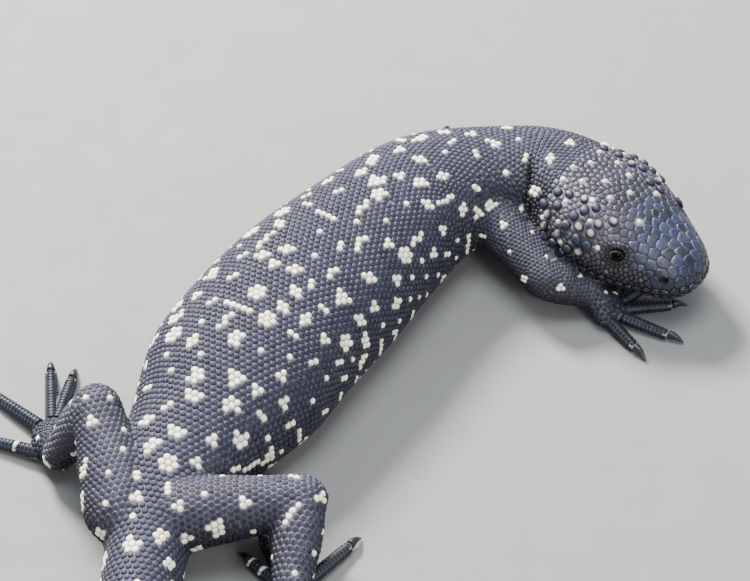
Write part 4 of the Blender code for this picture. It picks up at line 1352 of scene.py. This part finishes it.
def tints(seed, cream):
    """Each scale's colour at its root and top, its gloss, how bare of shadow and how wide its top."""
    c = colours()
    chance = np.random.default_rng(5)
    count = len(cream)
    owner, along, turn, points = seed["owner"], seed["along"], seed["turn"], seed["points"]
    boss = seed["boss"]
    aside = off_back(turn)
    back = SNOUT_TIP - along
    head = on_head(owner, along)
    above = points[:, 2] - mouth_at(back)
    low = np.clip(0.6 * aside + (0.030 - points[:, 2]) / 0.03, 0, 1)
    tint = mixed(c.back, c.flank, low)
    crown = mixed(c.snout, c.crown, ramp(back, 0.026, 0.016))
    tint = np.where(head[:, None], mixed(crown, c.flank, np.clip(aside - 0.9, 0, 1) * 0.5), tint)
    tint = tint * np.clip(1 + 0.26 * chance.normal(size=count), 0.45, 1.8)[:, None]
    tint = tint * (1 + np.where(head, 0.07, 0.04)[:, None] * chance.normal(size=(count, 3)))
    top = tint * 1.0
    # Pale net at the beads' feet: the skin's own paler colour, but strongest on the back and fading out
    # down the flanks as painted light, where the back faces the light and the flanks lie in shade.
    net = np.clip(1.45 - aside - 0.3 * (owner >= 0), 0, 1)
    net = net * np.clip(chance.normal(0.80, 0.15, count), 0.2, 1)
    net = net * ~head * (1 - 0.55 * granular(owner, along, turn)) * (owner < FIRST_SOLE)
    smooth = (owner < 0) * ramp(-0.085, along, 0.04) * np.clip(1.5 - aside, 0, 1)
    top = mixed(top, c.net, smooth * 0.26)
    net = net * (1 - 0.45 * smooth)
    paler = mixed(c.net, c.lilac, np.where(owner >= 0, 0.45, 0.0))
    tint = mixed(tint, paler, net)
    temple = head * temple_share(points, along, turn)
    pale_boss = boss & (chance.random(count) < 0.42)
    rosy = np.where(pale_boss, chance.uniform(0.5, 1.0, count), chance.uniform(0.0, 0.16, count) * temple)
    top = mixed(top, mixed(c.rose, c.cream, chance.uniform(0, 0.5, count)), rosy)
    top = np.where((boss & ~pale_boss)[:, None], mixed(c.snout, c.crown, 0.5) * 1.5, top)
    tint = np.where(boss[:, None], mixed(c.snout, c.crown, 0.7) * 1.1, tint)
    varied = top * np.clip(chance.normal(1, 0.22, count), 0.5, 1.7)[:, None]
    top = np.where((head & ~boss)[:, None], varied, top)
    crest = head * np.clip(1.5 - aside, 0, 1) * ~boss
    line = crest * np.clip(chance.normal(0.8, 0.2, count), 0.2, 1)
    line = line * np.interp(back, (0.006, 0.03), (0.40, 0.62))
    tint = mixed(tint, c.lilac, line)
    cheek = head * cheek_share(points, along, turn)
    pale_fleck = (chance.random(count) < 0.30) & (back > 0.016)
    fleck = mixed(c.umber_and_shade, c.lilac, np.where(pale_fleck, chance.uniform(0.2, 0.6, count), 0.10))
    tint, top = mixed(tint, c.umber_and_shade, cheek * 0.9), mixed(top, fleck, cheek * 0.9)
    near_eye = from_eyes(points)
    # Round each eye, up to just over its top where the brow overhangs, the scales take painted shade over
    # their own dark brown.
    socket_shade = head * ramp(0.0092, near_eye, 0.0040) * 0.88
    socket_shade = socket_shade * ramp(EYE_HEIGHT + 0.0042, points[:, 2], 0.0016)
    # The labials' own near-black beside the mouth, carried up the side of the face to under the eye and
    # nostril as painted shade.
    lips = head * ramp(0.0088, above, 0.003) * np.clip((back + 0.010) / 0.014, 0, 1)
    foot = (owner >= FIRST_SOLE) * 0.75
    # Painted shade in the neck's folds and on its side behind the jaw.
    painted_fold_shade = fold_shade(owner, along, turn) * 0.85
    tint, top = mixed(tint, np.array(c.toe) * 2.0, foot), mixed(top, c.toe, foot)
    # Mixes in the painted shade round the eyes and in the neck's folds, and the lips' near-black that runs
    # up the face as painted shade.
    for share, dark in ((socket_shade, c.umber_and_shade), (lips * 0.92, c.lips), (painted_fold_shade, c.umber_and_shade)):
        tint, top = mixed(tint, dark, share), mixed(top, dark, share)
    pale = np.array(c.cream) * np.clip(1 + 0.06 * chance.normal(size=count), 0.78, 1.08)[:, None]
    pale = mixed(pale, (0.70, 0.58, 0.42), np.clip(chance.normal(0.03, 0.12, count), 0, 0.6))
    pale = mixed(pale, c.rose, head * chance.uniform(-0.5, 0.7, count).clip(0))
    tint = np.where(cream[:, None], pale * 0.92, tint)
    top = np.where(cream[:, None], pale, top)
    body_gloss = np.where(owner < 0, 0.16 + 0.24 * low - 0.1 * smooth, 0.05)
    gloss = np.clip(np.where(head, 0.50, body_gloss) + 0.10 * chance.normal(size=count), 0.02, 0.95)
    gloss = np.where(head & (back < 0.03), 0.66, gloss) + lips * 0.5 - socket_shade * 0.4 - boss * 0.1
    bare = np.maximum(np.maximum(cream * 0.8, crest * 0.85), net * 0.9)
    wide = np.where(boss, -1.0, np.where(head, 0.9, np.clip(1 - net * 1.3, 0, 0.6)))
    return np.clip(tint, 0.003, 0.95), np.clip(top, 0.003, 0.95), np.clip(gloss, 0, 1), bare, wide


# A usual reach, for keeping powers of reaches in range.
MEAN_REACH = 0.003


def reaches(seed, cream, sides):
    """How far each scale spreads in every direction, held back by its neighbours."""
    chance = np.random.default_rng(8)
    points, normals, pitch = seed["points"], seed["normals"], seed["pitch"]
    around = neighbours(points, 13)
    across = np.cross(normals, chance.normal(size=normals.shape))
    across /= np.linalg.norm(across, axis=1, keepdims=True)
    up = np.cross(normals, across)
    gap = points[around] - points[:, None]
    x = (gap * across[:, None]).sum(2)
    y = (gap * up[:, None]).sum(2)
    plane = np.maximum(np.sqrt(x * x + y * y), 1e-6)
    reach = np.linalg.norm(gap, axis=2)
    head = on_head(seed["owner"], seed["along"])
    swell = pitch * np.clip(chance.normal(1, 0.07, len(points)), 0.8, 1.2)
    share = swell[:, None] / (swell[:, None] + swell[around])
    alike = (normals[around] * normals[:, None]).sum(2) > 0.1
    power = (4.5 + 26 * seed["flat"])[:, None]
    spread = np.empty((len(points), sides))
    for k in range(sides):
        angle = 2 * math.pi * k / sides
        facing_it = np.maximum((x * math.cos(angle) + y * math.sin(angle)) / plane, 0) * alike
        held = ((facing_it / (share * reach) * MEAN_REACH) ** power).sum(1)
        spread[:, k] = MEAN_REACH / np.maximum(held, 1e-12) ** (1 / power[:, 0])
    fill = np.where(cream, 0.97, 0.93) + 0.065 * seed["flat"] * ~cream
    most = np.where(cream & head, chance.uniform(0.0009, 0.0017, len(points)), 0.68 * pitch)
    most = np.where(seed["boss"], pitch * chance.uniform(0.38, 0.52, len(points)), most)
    spread = np.minimum(spread * fill[:, None], most[:, None])
    for place, (wide, tall, _) in HOLES:
        spread = np.minimum(spread, hole_reach(points, across, up, sides, place, (wide, tall)))
    return spread, across, up


def hole_reach(points, across, up, sides, place, rim):
    """How far each point lies from a hole's rim, in each direction across the skin."""
    here, out = place
    axes = np.array(facing(out))[:, :2]
    start = (points - np.array(here)) @ axes / rim
    reach = np.full((len(points), sides), 1.0)
    near = np.nonzero(np.linalg.norm(points - np.array(here), axis=1) < 0.010)[0]
    for k in range(sides):
        angle = 2 * math.pi * k / sides
        step = (across[near] * math.cos(angle) + up[near] * math.sin(angle)) @ axes / rim
        a = (step * step).sum(1)
        b = (start[near] * step).sum(1)
        c = (start[near] ** 2).sum(1) - 1
        inside = b * b - a * c
        hit = (-b - np.sqrt(np.maximum(inside, 0))) / np.maximum(a, 1e-9)
        reach[near, k] = np.where((inside > 0) & (hit > 0), np.maximum(hit, 0.0003), 1.0)
    return reach


def half_ball(sides, levels):
    """Half a ball on a closed base: level and side of each vertex, and its faces."""
    bm = bmesh.new()
    bmesh.ops.create_uvsphere(bm, u_segments=sides, v_segments=levels * 2, radius=1.0)
    everything = bm.verts[:] + bm.edges[:] + bm.faces[:]
    bmesh.ops.bisect_plane(bm, geom=everything, dist=0.0001, plane_no=(0, 0, 1), clear_inner=True)
    bmesh.ops.holes_fill(bm, edges=[edge for edge in bm.edges if edge.is_boundary], sides=0)
    bmesh.ops.recalc_face_normals(bm, faces=bm.faces)
    bm.verts.index_update()
    level = [round(math.asin(min(max(v.co.z, 0.0), 1.0)) / (math.pi / 2) * levels) for v in bm.verts]
    side = [round(math.atan2(v.co.y, v.co.x) / (2 * math.pi) * sides) % sides for v in bm.verts]
    faces = [[v.index for v in face.verts] for face in bm.faces]
    bm.free()
    return np.array(level), np.array(side), faces


SIDES, HEAD_SIDES, LEVELS = 8, 18, 4
ROOT_DEPTH = 0.00035
# The lowest that a scale and the skin may come, and a bead's patch on the unwrap.
SCALE_LOW, SKIN_LOW = 0.00012, 0.0007
PATCH_RADIUS = 0.0014
DOME_SPREAD = np.array((1.0, 0.95, 0.76, 0.43, 0.0))
PLATE_SPREAD = np.array((1.0, 0.955, 0.88, 0.55, 0.0))
DOME_RISE = np.array((0.0, 0.50, 0.82, 0.96, 1.0))
PLATE_RISE = np.array((0.0, 0.55, 0.86, 0.97, 1.0))
NARROW_TOP = np.array((0.0, 0.0, 0.34, 0.94, 1.0))
WIDE_TOP = np.array((0.0, 0.10, 0.85, 1.0, 1.0))
BOSS_TOP = np.array((0.0, 0.0, 0.05, 0.62, 1.0))


def scale_mesh(name, seed, shape, looks, chosen, hide, wrap):
    """One mesh of the chosen scales, each a half ball spread to its own outline."""
    spread, across, up = (part[chosen] for part in shape)
    sides = spread.shape[1]
    level, side, faces = half_ball(sides, LEVELS)
    tint, top, gloss, bare, wide, _ = (part[chosen] for part in looks)
    points, normals = seed["points"][chosen], seed["normals"][chosen]
    height, flat = seed["height"][chosen], seed["flat"][chosen][:, None]
    count, size = len(points), len(level)
    angle = 2 * np.pi * side / sides
    ring = (DOME_SPREAD * (1 - flat) + PLATE_SPREAD * flat)[:, level] * spread[:, side]
    rise = (DOME_RISE * (1 - flat) + PLATE_RISE * flat)[:, level]
    lift = rise * height[:, None] - np.where(level == 0, ROOT_DEPTH, 0.0)
    x, y = ring * np.cos(angle), ring * np.sin(angle)
    place = points[:, None] + across[:, None] * x[..., None] + up[:, None] * y[..., None]
    if wrap:
        flat_place = place.reshape(-1, 3)
        place = np.array([hide.snap(point) for point in flat_place]).reshape(place.shape)
    place = place + normals[:, None] * lift[..., None]
    place[..., 2] = np.maximum(place[..., 2], SCALE_LOW)
    mesh = bpy.data.meshes.new(name)
    loops = np.concatenate([np.array(face) for face in faces])
    sizes_of = np.array([len(face) for face in faces])
    mesh.vertices.add(count * size)
    mesh.vertices.foreach_set("co", place.astype(np.float32).ravel())
    mesh.loops.add(count * len(loops))
    shift = np.arange(count)[:, None] * size
    mesh.loops.foreach_set("vertex_index", (loops + shift).astype(np.int32).ravel())
    starts = np.concatenate(([0], np.cumsum(sizes_of)[:-1]))
    mesh.polygons.add(count * len(faces))
    starts = starts + np.arange(count)[:, None] * len(loops)
    mesh.polygons.foreach_set("loop_start", starts.astype(np.int32).ravel())
    mesh.update(calc_edges=True)
    mesh.shade_smooth()
    u, v = unwrap(seed["owner"][chosen], seed["along"][chosen], seed["turn"][chosen])
    spread = DOME_SPREAD[level]
    patch = PATCH_RADIUS * np.stack((spread * np.cos(angle), spread * np.sin(angle)), 1)
    corner = np.concatenate([np.full(len(f), f[0]) if len(f) == sides else np.array(f) for f in faces])
    own = np.stack((u, v), 1)[:, None] + patch[corner]
    mesh.uv_layers.new(name="OFBake").uv.foreach_set("vector", own.astype(np.float32).ravel())
    topped = NARROW_TOP[level] * (1 - wide[:, None]) + WIDE_TOP[level] * wide[:, None]
    topped = np.where(wide[:, None] < 0, BOSS_TOP[level], topped)
    shade = mixed(tint[:, None], top[:, None], topped)
    # How far up each scale the painted root shade reaches: its rise, lifted where the scale is bare of
    # shadow.
    level_rise = rise + (1 - rise) * bare[:, None]
    paint(mesh, shade.reshape(-1, 3), level_rise.ravel(), np.repeat(gloss, size))
    return mesh


def paint(mesh, tint, rise, gloss):
    """Gives a mesh its tint, its rise from root to top and its gloss at each point."""
    colour = np.concatenate((tint, np.ones((len(tint), 1))), 1).astype(np.float32)
    mesh.attributes.new("tint", "FLOAT_COLOR", "POINT").data.foreach_set("color", colour.ravel())
    for name, values in (("rise", rise), ("gloss", gloss)):
        spread = np.broadcast_to(values, len(tint)).astype(np.float32)
        mesh.attributes.new(name, "FLOAT", "POINT").data.foreach_set("value", spread)


def tube_faces_uv(mesh, owner, along, turn):
    """The unwrap's place for every corner. A face across two lengths draws in to one point."""
    loops = np.empty(len(mesh.loops), np.int32)
    mesh.loops.foreach_get("vertex_index", loops)
    starts = np.empty(len(mesh.polygons), np.int32)
    counts = np.empty(len(mesh.polygons), np.int32)
    mesh.polygons.foreach_get("loop_start", starts)
    mesh.polygons.foreach_get("loop_total", counts)
    face = np.repeat(np.arange(len(starts)), counts)
    order = np.argsort(starts)
    own, run, round_it = owner[loops], along[loops], turn[loops].copy()
    low = np.minimum.reduceat(own, starts[order])
    high = np.maximum.reduceat(own, starts[order])
    first = loops[starts[order]][face]
    wide = np.minimum.reduceat(round_it, starts[order])[face] + 0.5 < round_it
    over = np.zeros(len(starts), bool)
    np.logical_or.at(over, face, wide)
    round_it = np.where(over[face] & (round_it < 0.5), round_it + 1.0, round_it)
    across = (low != high)[face]
    own = np.where(across, owner[first], own)
    run = np.where(across, along[first], run)
    round_it = np.where(across, turn[first], round_it)
    u, v = unwrap(own, run, round_it)
    spread = np.stack((u, v), 1).astype(np.float32)
    mesh.uv_layers.new(name="OFBake").uv.foreach_set("vector", spread.ravel())


SMOOTH_ROUNDS = 4


def make_skin():
    """One closed skin: rounded lengths of body, limb and toe joined as one, then the head's forms."""
    s = sizes()
    length = SNOUT_TIP - TAIL_TIP
    bm = bmesh.new()

    def body_place(share, turn):
        return BODY.hide(TAIL_TIP + length * (1 - math.cos(math.pi * share)) / 2, turn, s.coat)

    wrapped(bm, BODY_SIDES, BODY_RINGS, body_place)
    for tube in LIMBS + SOLES + TOES:
        capsule(bm, tube, s.coat)
    skin = link("skin", mesh_of(bm, "skin"), MATERIALS["hide_skin"])
    remesh = skin.modifiers.new("One skin", "REMESH")
    remesh.mode = "VOXEL"
    remesh.voxel_size = s.voxel
    mesh = applied(skin)
    bm = bmesh.new()
    bm.from_mesh(mesh)
    for _ in range(SMOOTH_ROUNDS):
        bmesh.ops.smooth_vert(
            bm, verts=bm.verts, factor=0.5, use_axis_x=True, use_axis_y=True, use_axis_z=True
        )
    middles = np.array([face.calc_center_median()[:] for face in bm.faces])
    owner, along, _ = survey(middles)
    bm.faces.ensure_lookup_table()
    edges = set()
    for i in np.nonzero((owner < 0) & (along > HEAD_BASE))[0]:
        edges.update(bm.faces[i].edges)
    bmesh.ops.subdivide_edges(bm, edges=list(edges), cuts=1, use_grid_fill=True)
    bm.normal_update()
    points = np.array([vert.co[:] for vert in bm.verts])
    normals = np.array([vert.normal[:] for vert in bm.verts])
    points = shape_head(points, normals)
    points[:, 2] = np.maximum(points[:, 2], SKIN_LOW)
    for vert, point in zip(bm.verts, points):
        vert.co = point
    bm.normal_update()
    return bm


def skin_tints(points, seed, looks):
    """The skin between scales: dark, with the markings in it, and lilac on crown, hips and knees."""
    c = colours()
    near = tree_of(seed["points"])
    nearest = np.array([near.find(point)[1] for point in points])
    tint, cream = looks[0], looks[-1]
    owner, along = seed["owner"][nearest], seed["along"][nearest]
    aside = off_back(seed["turn"][nearest])
    back = SNOUT_TIP - along
    head = on_head(owner, along)
    lilac = head * ramp(back, 0.030, 0.01) * np.clip(1.1 - aside, 0, 1)
    limb = (owner >= 0) & (owner < FIRST_TOE)
    lilac = np.maximum(lilac, limb * 0.45)
    # The dark gap skin turns to the pale net on the back and stays dark down the flanks: partly the skin's
    # own colours, partly painted light on the back and painted shade on the flanks.
    net = ((owner < 0) & ~head) * np.clip(1.45 - aside, 0, 1) * 0.85
    net = net * (1 - 0.55 * granular(owner, along, seed["turn"][nearest]))
    colour = mixed(mixed(c.gap, c.net, net), c.lilac, lilac)
    # Painted shade in the neck's folds and on its side behind the jaw.
    colour = mixed(colour, c.umber_and_shade, fold_shade(owner, along, seed["turn"][nearest]) * 0.9)
    colour = mixed(colour, tint[nearest], np.where(cream[nearest], 0.35, 0.1))
    toe = survey(points)[0] >= FIRST_TOE
    return np.where(toe[:, None], mixed(c.toe, c.joint, 0.5), colour)


# Where round a toe one row of scales ends and the next begins, and how often a band is cream.
TOE_EDGES = (0.165, 0.265, 0.355)
RINGS_PER_BAND, PALE_BANDS = 6, 0.04


def toe_bands():
    """Every toe's scales: broad bands over the top, small scales at the sides and pads below."""
    c, s = colours(), sizes()
    chance = random.Random(31)
    bm = bmesh.new()
    tint, owner, along, turns = [], [], [], []
    for index, tube in enumerate(TOES):
        reach = tube.length()
        start = BAND_START / reach
        bands = round((1 - start) * reach / s.band_pitch)
        rings = bands * RINGS_PER_BAND
        shades = [chance.gauss(1.0, 0.2) for _ in range(bands + 1)]
        pales = [chance.random() < PALE_BANDS for _ in range(bands + 1)]

        def place(share, turn):
            ring = share * rings
            run = min(max((ring - 1) / (rings - 2), 0.0), 1.0)
            band = min(int(run * bands * 0.9999), bands - 1)
            phase = run * bands - band
            aside = abs((turn - 0.25 + 0.5) % 1.0 - 0.5)
            part = sum(aside > edge for edge in TOE_EDGES)
            low, high = ((0.0, *TOE_EDGES)[part], (*TOE_EDGES, 0.5)[part])
            across = (aside - low) / (high - low)
            across = 0.5 + across / 2 if part == 0 else across / 2 if part == len(TOE_EDGES) else across
            crest = math.sin(math.pi * min(max(phase, 0.0), 1.0) ** 0.85) ** 0.5
            form = crest * math.sin(math.pi * min(max(across, 0.02), 0.98)) ** 0.4
            end = 0.35 if run > 0.97 or run < 0.02 else 1.0
            depth = s.coat * (1.0 - 1.05 * form * end)
            top = c.cream if pales[band] and part < 2 else c.toe
            edge = mixed(c.joint, c.toe, 0.3)
            if band == bands - 1 and part < 2:
                edge = mixed(c.joint, c.cream, 0.4)
            shade = shades[band] * (0.8 if part else 1.0)
            tint.append(mixed(edge, np.array(top) * shade, min(max(form * 3.0 - 0.9, 0.0), 1.0)))
            owner.append(FIRST_TOE + index)
            share_along = start + (1 - start) * run
            along.append(share_along)
            turns.append((turn + 0.25) % 1.0)
            if ring < 0.5 or ring > rings - 0.5:
                return tube.middle(share_along)
            return tube.place(share_along, turn, depth)

        wrapped(bm, BAND_SIDES, rings, place)
    mesh = mesh_of(bm, "toe_bands")
    tube_faces_uv(mesh, np.array(owner), np.array(along), np.array(turns))
    paint(mesh, np.array(tint), np.ones(len(tint)), 0.55)
    return link("toe_bands", mesh, MATERIALS["hide_scales"])


# The lids' rims: a ring of this radius is carried to the eye's half width and half height.
RIM_RADIUS = 0.4
LID_THICK, LID_WIDE, LID_TALL = 0.00052, 0.0029, 0.0016
LID_SUNK, LID_BROW = 0.0004, 0.0005
LID_WRINKLE, LID_WRINKLES = 0.00022, 13


def lid_rim(name, place, rear):
    """The smooth rim of both lids round one eye, thicker above. rear is the sign of X at its back."""
    here, out = place
    axes = facing(out)
    bm = bmesh.new()
    bmesh.ops.create_circle(bm, segments=12, radius=RIM_RADIUS)
    turn = Matrix.Rotation(math.pi / 2, 4, "X")
    bmesh.ops.transform(bm, matrix=Matrix.Translation((1, 0, 0)) @ turn, verts=bm.verts)
    bmesh.ops.spin(
        bm, geom=bm.verts[:] + bm.edges[:], axis=(0, 0, 1), cent=(0, 0, 0), steps=44,
        angle=2 * math.pi, use_merge=True,
    )
    bmesh.ops.remove_doubles(bm, verts=bm.verts, dist=0.0001)
    for vert in bm.verts:
        angle = math.atan2(vert.co.y, vert.co.x)
        over = math.sin(angle)
        off = (math.hypot(vert.co.x, vert.co.y) - 1) / RIM_RADIUS
        thick = LID_THICK * (1.4 if over > 0 else 1.0) * (0.7 + 0.3 * abs(over))
        wide = LID_WIDE + off * thick
        high = LID_TALL * abs(over) ** 1.1 * (1.0 if over > 0 else 0.9) + off * thick * abs(over)
        rise = vert.co.z / RIM_RADIUS * thick - LID_SUNK + LID_BROW * max(over, 0.0)
        wrinkle = LID_WRINKLE * math.sin(angle * LID_WRINKLES) * max(off + 0.4, 0.0)
        local = Vector((wide * math.cos(angle), math.copysign(high, over), rise + wrinkle))
        vert.co = here + axes @ local
    bmesh.ops.recalc_face_normals(bm, faces=bm.faces)
    c = colours()
    mesh = mesh_of(bm, name)
    points = local_to(points_of(mesh), place)
    corner = ramp(rear * points[:, 0] / 0.0030, 0.62, 0.35)
    paint(mesh, mixed(np.array(c.umber_and_shade) * 0.42, c.rose, corner * 0.10), np.ones(len(points)), 0.0)
    return link(name, mesh, MATERIALS["hide_scales"])


def claw(name, start, aim):
    """One curved claw, wide at its root and drawn out to a blunt point."""
    across, up = cross_axes(aim)

    def place(share, turn):
        arch = CLAW_ARCH * math.sin(math.pi * share) - CLAW_DROP * share * share
        centre = start + aim * (GAP + CLAW_LENGTH * share)
        centre.z = toe_height(1.0) + CLAW_LIFT + arch
        closed = 0.0 if share < 0.001 else 1.0
        radius = (CLAW_RADIUS * (1 - share) ** 0.72 + CLAW_POINT) * closed
        angle = 2 * math.pi * turn
        tall = 1.0 if math.sin(angle) > 0 else 0.82
        point = centre + (across * (math.cos(angle) * 0.86) + up * (math.sin(angle) * tall)) * radius
        point.z = max(point.z, CLAW_LOW)
        return point

    bm = bmesh.new()
    wrapped(bm, 16, 18, place)
    mesh = mesh_of(bm, name)
    share = ((points_of(mesh) - np.array(start)) @ np.array(aim) - GAP) / CLAW_LENGTH
    paint(mesh, np.tile(colours().claw, (len(share), 1)), np.clip(share, 0, 1), 0.8)
    return link(name, mesh, MATERIALS["claw_horn"])


FLESH = sorted(name for name in NODES if "claw" not in name and not name.startswith("eye"))
BODY_LENGTHS = (
    ("tail", TAIL_TIP, -0.205), ("tail_root", -0.205, VENT), ("hips", VENT, LOIN_BASE),
    ("loin", LOIN_BASE, 0.010), ("ribs", 0.010, CHEST_BASE), ("chest", CHEST_BASE, NECK_BASE),
    ("neck", NECK_BASE, HEAD_EDGE), ("head", HEAD_EDGE, SNOUT_TIP + 0.01),
)


def coat_lengths(seed):
    """The scales of each coat piece, by name."""
    owner, along = seed["owner"], seed["along"]
    lengths = {}
    for name, low, high in BODY_LENGTHS:
        lengths["scales_" + name] = np.nonzero((owner < 0) & (along >= low) & (along < high))[0]
    for leg, name in enumerate(LEGS):
        own = (owner == 2 * leg) | (owner == 2 * leg + 1) | (owner == FIRST_SOLE + leg)
        lengths["scales_" + name] = np.nonzero(own)[0]
    return lengths


def make_materials():
    if "hide_skin" not in MATERIALS:
        hide_material("hide_skin", False, 0.25)
        hide_material("hide_scales", True, 0.28)
        hide_material("hide_head", True, 0.5, 1.6)
        claw_material()
        floor_material()


class LIZARD_OT_skin(bpy.types.Operator):
    """Make the skin that stands for every piece of flesh, and choose where each scale grows"""
    bl_idname = "lizard.skin"
    bl_label = "Skin"

    def execute(self, context):
        make_materials()
        bm = make_skin()
        hide = Hide(bm)
        seed = seeds(hide)
        cream = marks(seed)
        head = on_head(seed["owner"], seed["along"])
        seed["flat"] = np.where(cream & head, 0.0, seed["flat"])
        seed["height"] = np.where(cream & head, np.maximum(seed["height"], 0.0011), seed["height"])
        looks = (*tints(seed, cream), cream)
        skin = link("skin", mesh_of(bm, "skin"), MATERIALS["hide_skin"])
        points = points_of(skin.data)
        owner, along, turn = survey(points)
        tube_faces_uv(skin.data, owner, along, turn)
        paint(skin.data, skin_tints(points, seed, looks), np.ones(len(points)), 0.12)
        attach(skin, "root")
        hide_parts(*FLESH)
        HIDE["now"] = (hide, seed, looks)
        return {"FINISHED"}


class LIZARD_OT_scales(bpy.types.Operator):
    """Set a solid scale at every place chosen on the skin"""
    bl_idname = "lizard.scales"
    bl_label = "Scales"

    def execute(self, context):
        if "now" not in HIDE:
            raise RuntimeError("The skin comes first")
        hide, seed, looks = HIDE["now"]
        shapes = {sides: reaches(seed, looks[-1], sides) for sides in (SIDES, HEAD_SIDES)}
        for name, chosen in coat_lengths(seed).items():
            if len(chosen) == 0:
                raise RuntimeError("No scales for " + name)
            head = name == "scales_head"
            mesh = scale_mesh(name, seed, shapes[HEAD_SIDES if head else SIDES], looks, chosen, hide, head)
            piece = link(name, mesh, MATERIALS["hide_head" if head else "hide_scales"])
            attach(piece, "root")
        return {"FINISHED"}


class LIZARD_OT_toes(bpy.types.Operator):
    """Make the bands of scales on the toes"""
    bl_idname = "lizard.toes"
    bl_label = "Toes"

    def execute(self, context):
        piece = toe_bands()
        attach(piece, "root")
        return {"FINISHED"}


class LIZARD_OT_lids(bpy.types.Operator):
    """Make the rims of the eyelids"""
    bl_idname = "lizard.lids"
    bl_label = "Eyelids"

    def execute(self, context):
        for side, place in EYES.items():
            piece = lid_rim("lid_rim_" + side, place, 1 if side == "left" else -1)
            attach(piece, "root")
        return {"FINISHED"}


class LIZARD_OT_claws(bpy.types.Operator):
    """Make a smooth curved claw for each toe"""
    bl_idname = "lizard.claws"
    bl_label = "Claws"

    def execute(self, context):
        for node, (start, aim) in CLAWS.items():
            piece = claw("horn_" + node, start, aim)
            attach(piece, "root")
            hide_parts(node)
        return {"FINISHED"}


# The ball keeps inside the solids' faceted eye by this share of its radius.
BALL_SHARE = 0.985


class LIZARD_OT_eyes(bpy.types.Operator):
    """Make smooth wet eyes, each with iris and pupil, where the solids' eyes are"""
    bl_idname = "lizard.eyes"
    bl_label = "Eyes"

    def execute(self, context):
        for side, (_, out) in EYES.items():
            low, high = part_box("eye_" + side)
            centre = (Vector(low) + Vector(high)) / 2
            bm = bmesh.new()
            bmesh.ops.create_uvsphere(bm, u_segments=36, v_segments=24, radius=EYE_RADIUS * BALL_SHARE)
            bmesh.ops.translate(bm, verts=bm.verts, vec=centre)
            name = "ball_" + side
            piece = link(name, mesh_of(bm, name), eye_material("eye_wet_" + side, centre, out))
            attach(piece, "root")
            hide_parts("eye_" + side)
        return {"FINISHED"}


class LIZARD_OT_stage(bpy.types.Operator):
    """Set out the floor, the lights and the photograph's camera"""
    bl_idname = "lizard.stage"
    bl_label = "Stage"

    def execute(self, context):
        make_materials()
        bm = bmesh.new()
        bmesh.ops.create_grid(bm, x_segments=1, y_segments=1, size=4.0)
        floor = link("floor", mesh_of(bm, "floor", smooth=False), MATERIALS["floor_board"])
        make_lights()
        make_camera()
        return {"FINISHED"}


# Each light's name, place, breadth, power and colour.
LIGHTS = (
    ("key", (-0.62, 1.10, 1.14), 0.42, 150.0, (1.0, 0.985, 0.96)),
    ("fill", (0.75, -1.2, 0.95), 0.32, 13.0, (0.95, 0.97, 1.0)),
    ("top", (0.1, 0.0, 1.7), 0.9, 31.0, (0.90, 0.95, 1.0)),
)
SURROUND_COLOUR, SURROUND_STRENGTH = (0.84, 0.90, 1.0), 0.74


def make_lights():
    """A broad soft light high behind, a fill in front and a pale surround."""
    for name, place, size, power, colour in LIGHTS:
        data = bpy.data.lights.new(name, "AREA")
        data.size = size
        data.energy = power
        data.color = colour
        light = bpy.data.objects.new(name, data)
        light.location = place
        light.rotation_euler = (CAMERA_TARGET - Vector(place)).to_track_quat("-Z", "Y").to_euler()
        bpy.context.scene.collection.objects.link(light)
    world = bpy.data.worlds.new("surround")
    world.use_nodes = True
    backdrop = world.node_tree.nodes["Background"]
    backdrop.inputs["Color"].default_value = (*SURROUND_COLOUR, 1.0)
    backdrop.inputs["Strength"].default_value = SURROUND_STRENGTH
    bpy.context.scene.world = world


def make_camera():
    """The photograph's view, from the lizard's right and above."""
    tilt = math.radians(CAMERA_ELEVATION)
    data = bpy.data.cameras.new("photo_view")
    data.lens = CAMERA_LENS
    data.clip_end = 20.0
    camera = bpy.data.objects.new("photo_view", data)
    away = Vector((0, -math.cos(tilt), math.sin(tilt)))
    camera.location = CAMERA_TARGET + away * CAMERA_DISTANCE
    camera.rotation_euler = (math.pi / 2 - tilt, 0, 0)
    bpy.context.scene.collection.objects.link(camera)
    bpy.context.scene.camera = camera


OPERATORS = (
    LIZARD_OT_skin, LIZARD_OT_scales, LIZARD_OT_toes, LIZARD_OT_lids, LIZARD_OT_claws, LIZARD_OT_eyes,
    LIZARD_OT_stage,
)


class LIZARD_PT_pieces(bpy.types.Panel):
    """The lizard's sizes, colours and pieces"""
    bl_idname = "LIZARD_PT_pieces"
    bl_label = "Beaded lizard"
    bl_space_type = "VIEW_3D"
    bl_region_type = "UI"
    bl_category = "Lizard"

    def draw(self, context):
        for group in (context.scene.lizard_sizes, context.scene.lizard_colours):
            box = self.layout.box()
            for name in group.__annotations__:
                box.prop(group, name)
        for operator in OPERATORS:
            self.layout.operator(operator.bl_idname)


CLASSES = (LizardSizes, LizardColours, *OPERATORS, LIZARD_PT_pieces)


def register():
    for cls in CLASSES:
        bpy.utils.register_class(cls)
    bpy.types.Scene.lizard_sizes = PointerProperty(type=LizardSizes)
    bpy.types.Scene.lizard_colours = PointerProperty(type=LizardColours)


def unregister():
    del bpy.types.Scene.lizard_colours
    del bpy.types.Scene.lizard_sizes
    for cls in reversed(CLASSES):
        bpy.utils.unregister_class(cls)


def main():
    register()
    bpy.ops.lizard.skin()
    bpy.ops.lizard.scales()
    bpy.ops.lizard.toes()
    bpy.ops.lizard.lids()
    bpy.ops.lizard.claws()
    bpy.ops.lizard.eyes()
    bpy.ops.lizard.stage()


if __name__ == "__main__":
    main()
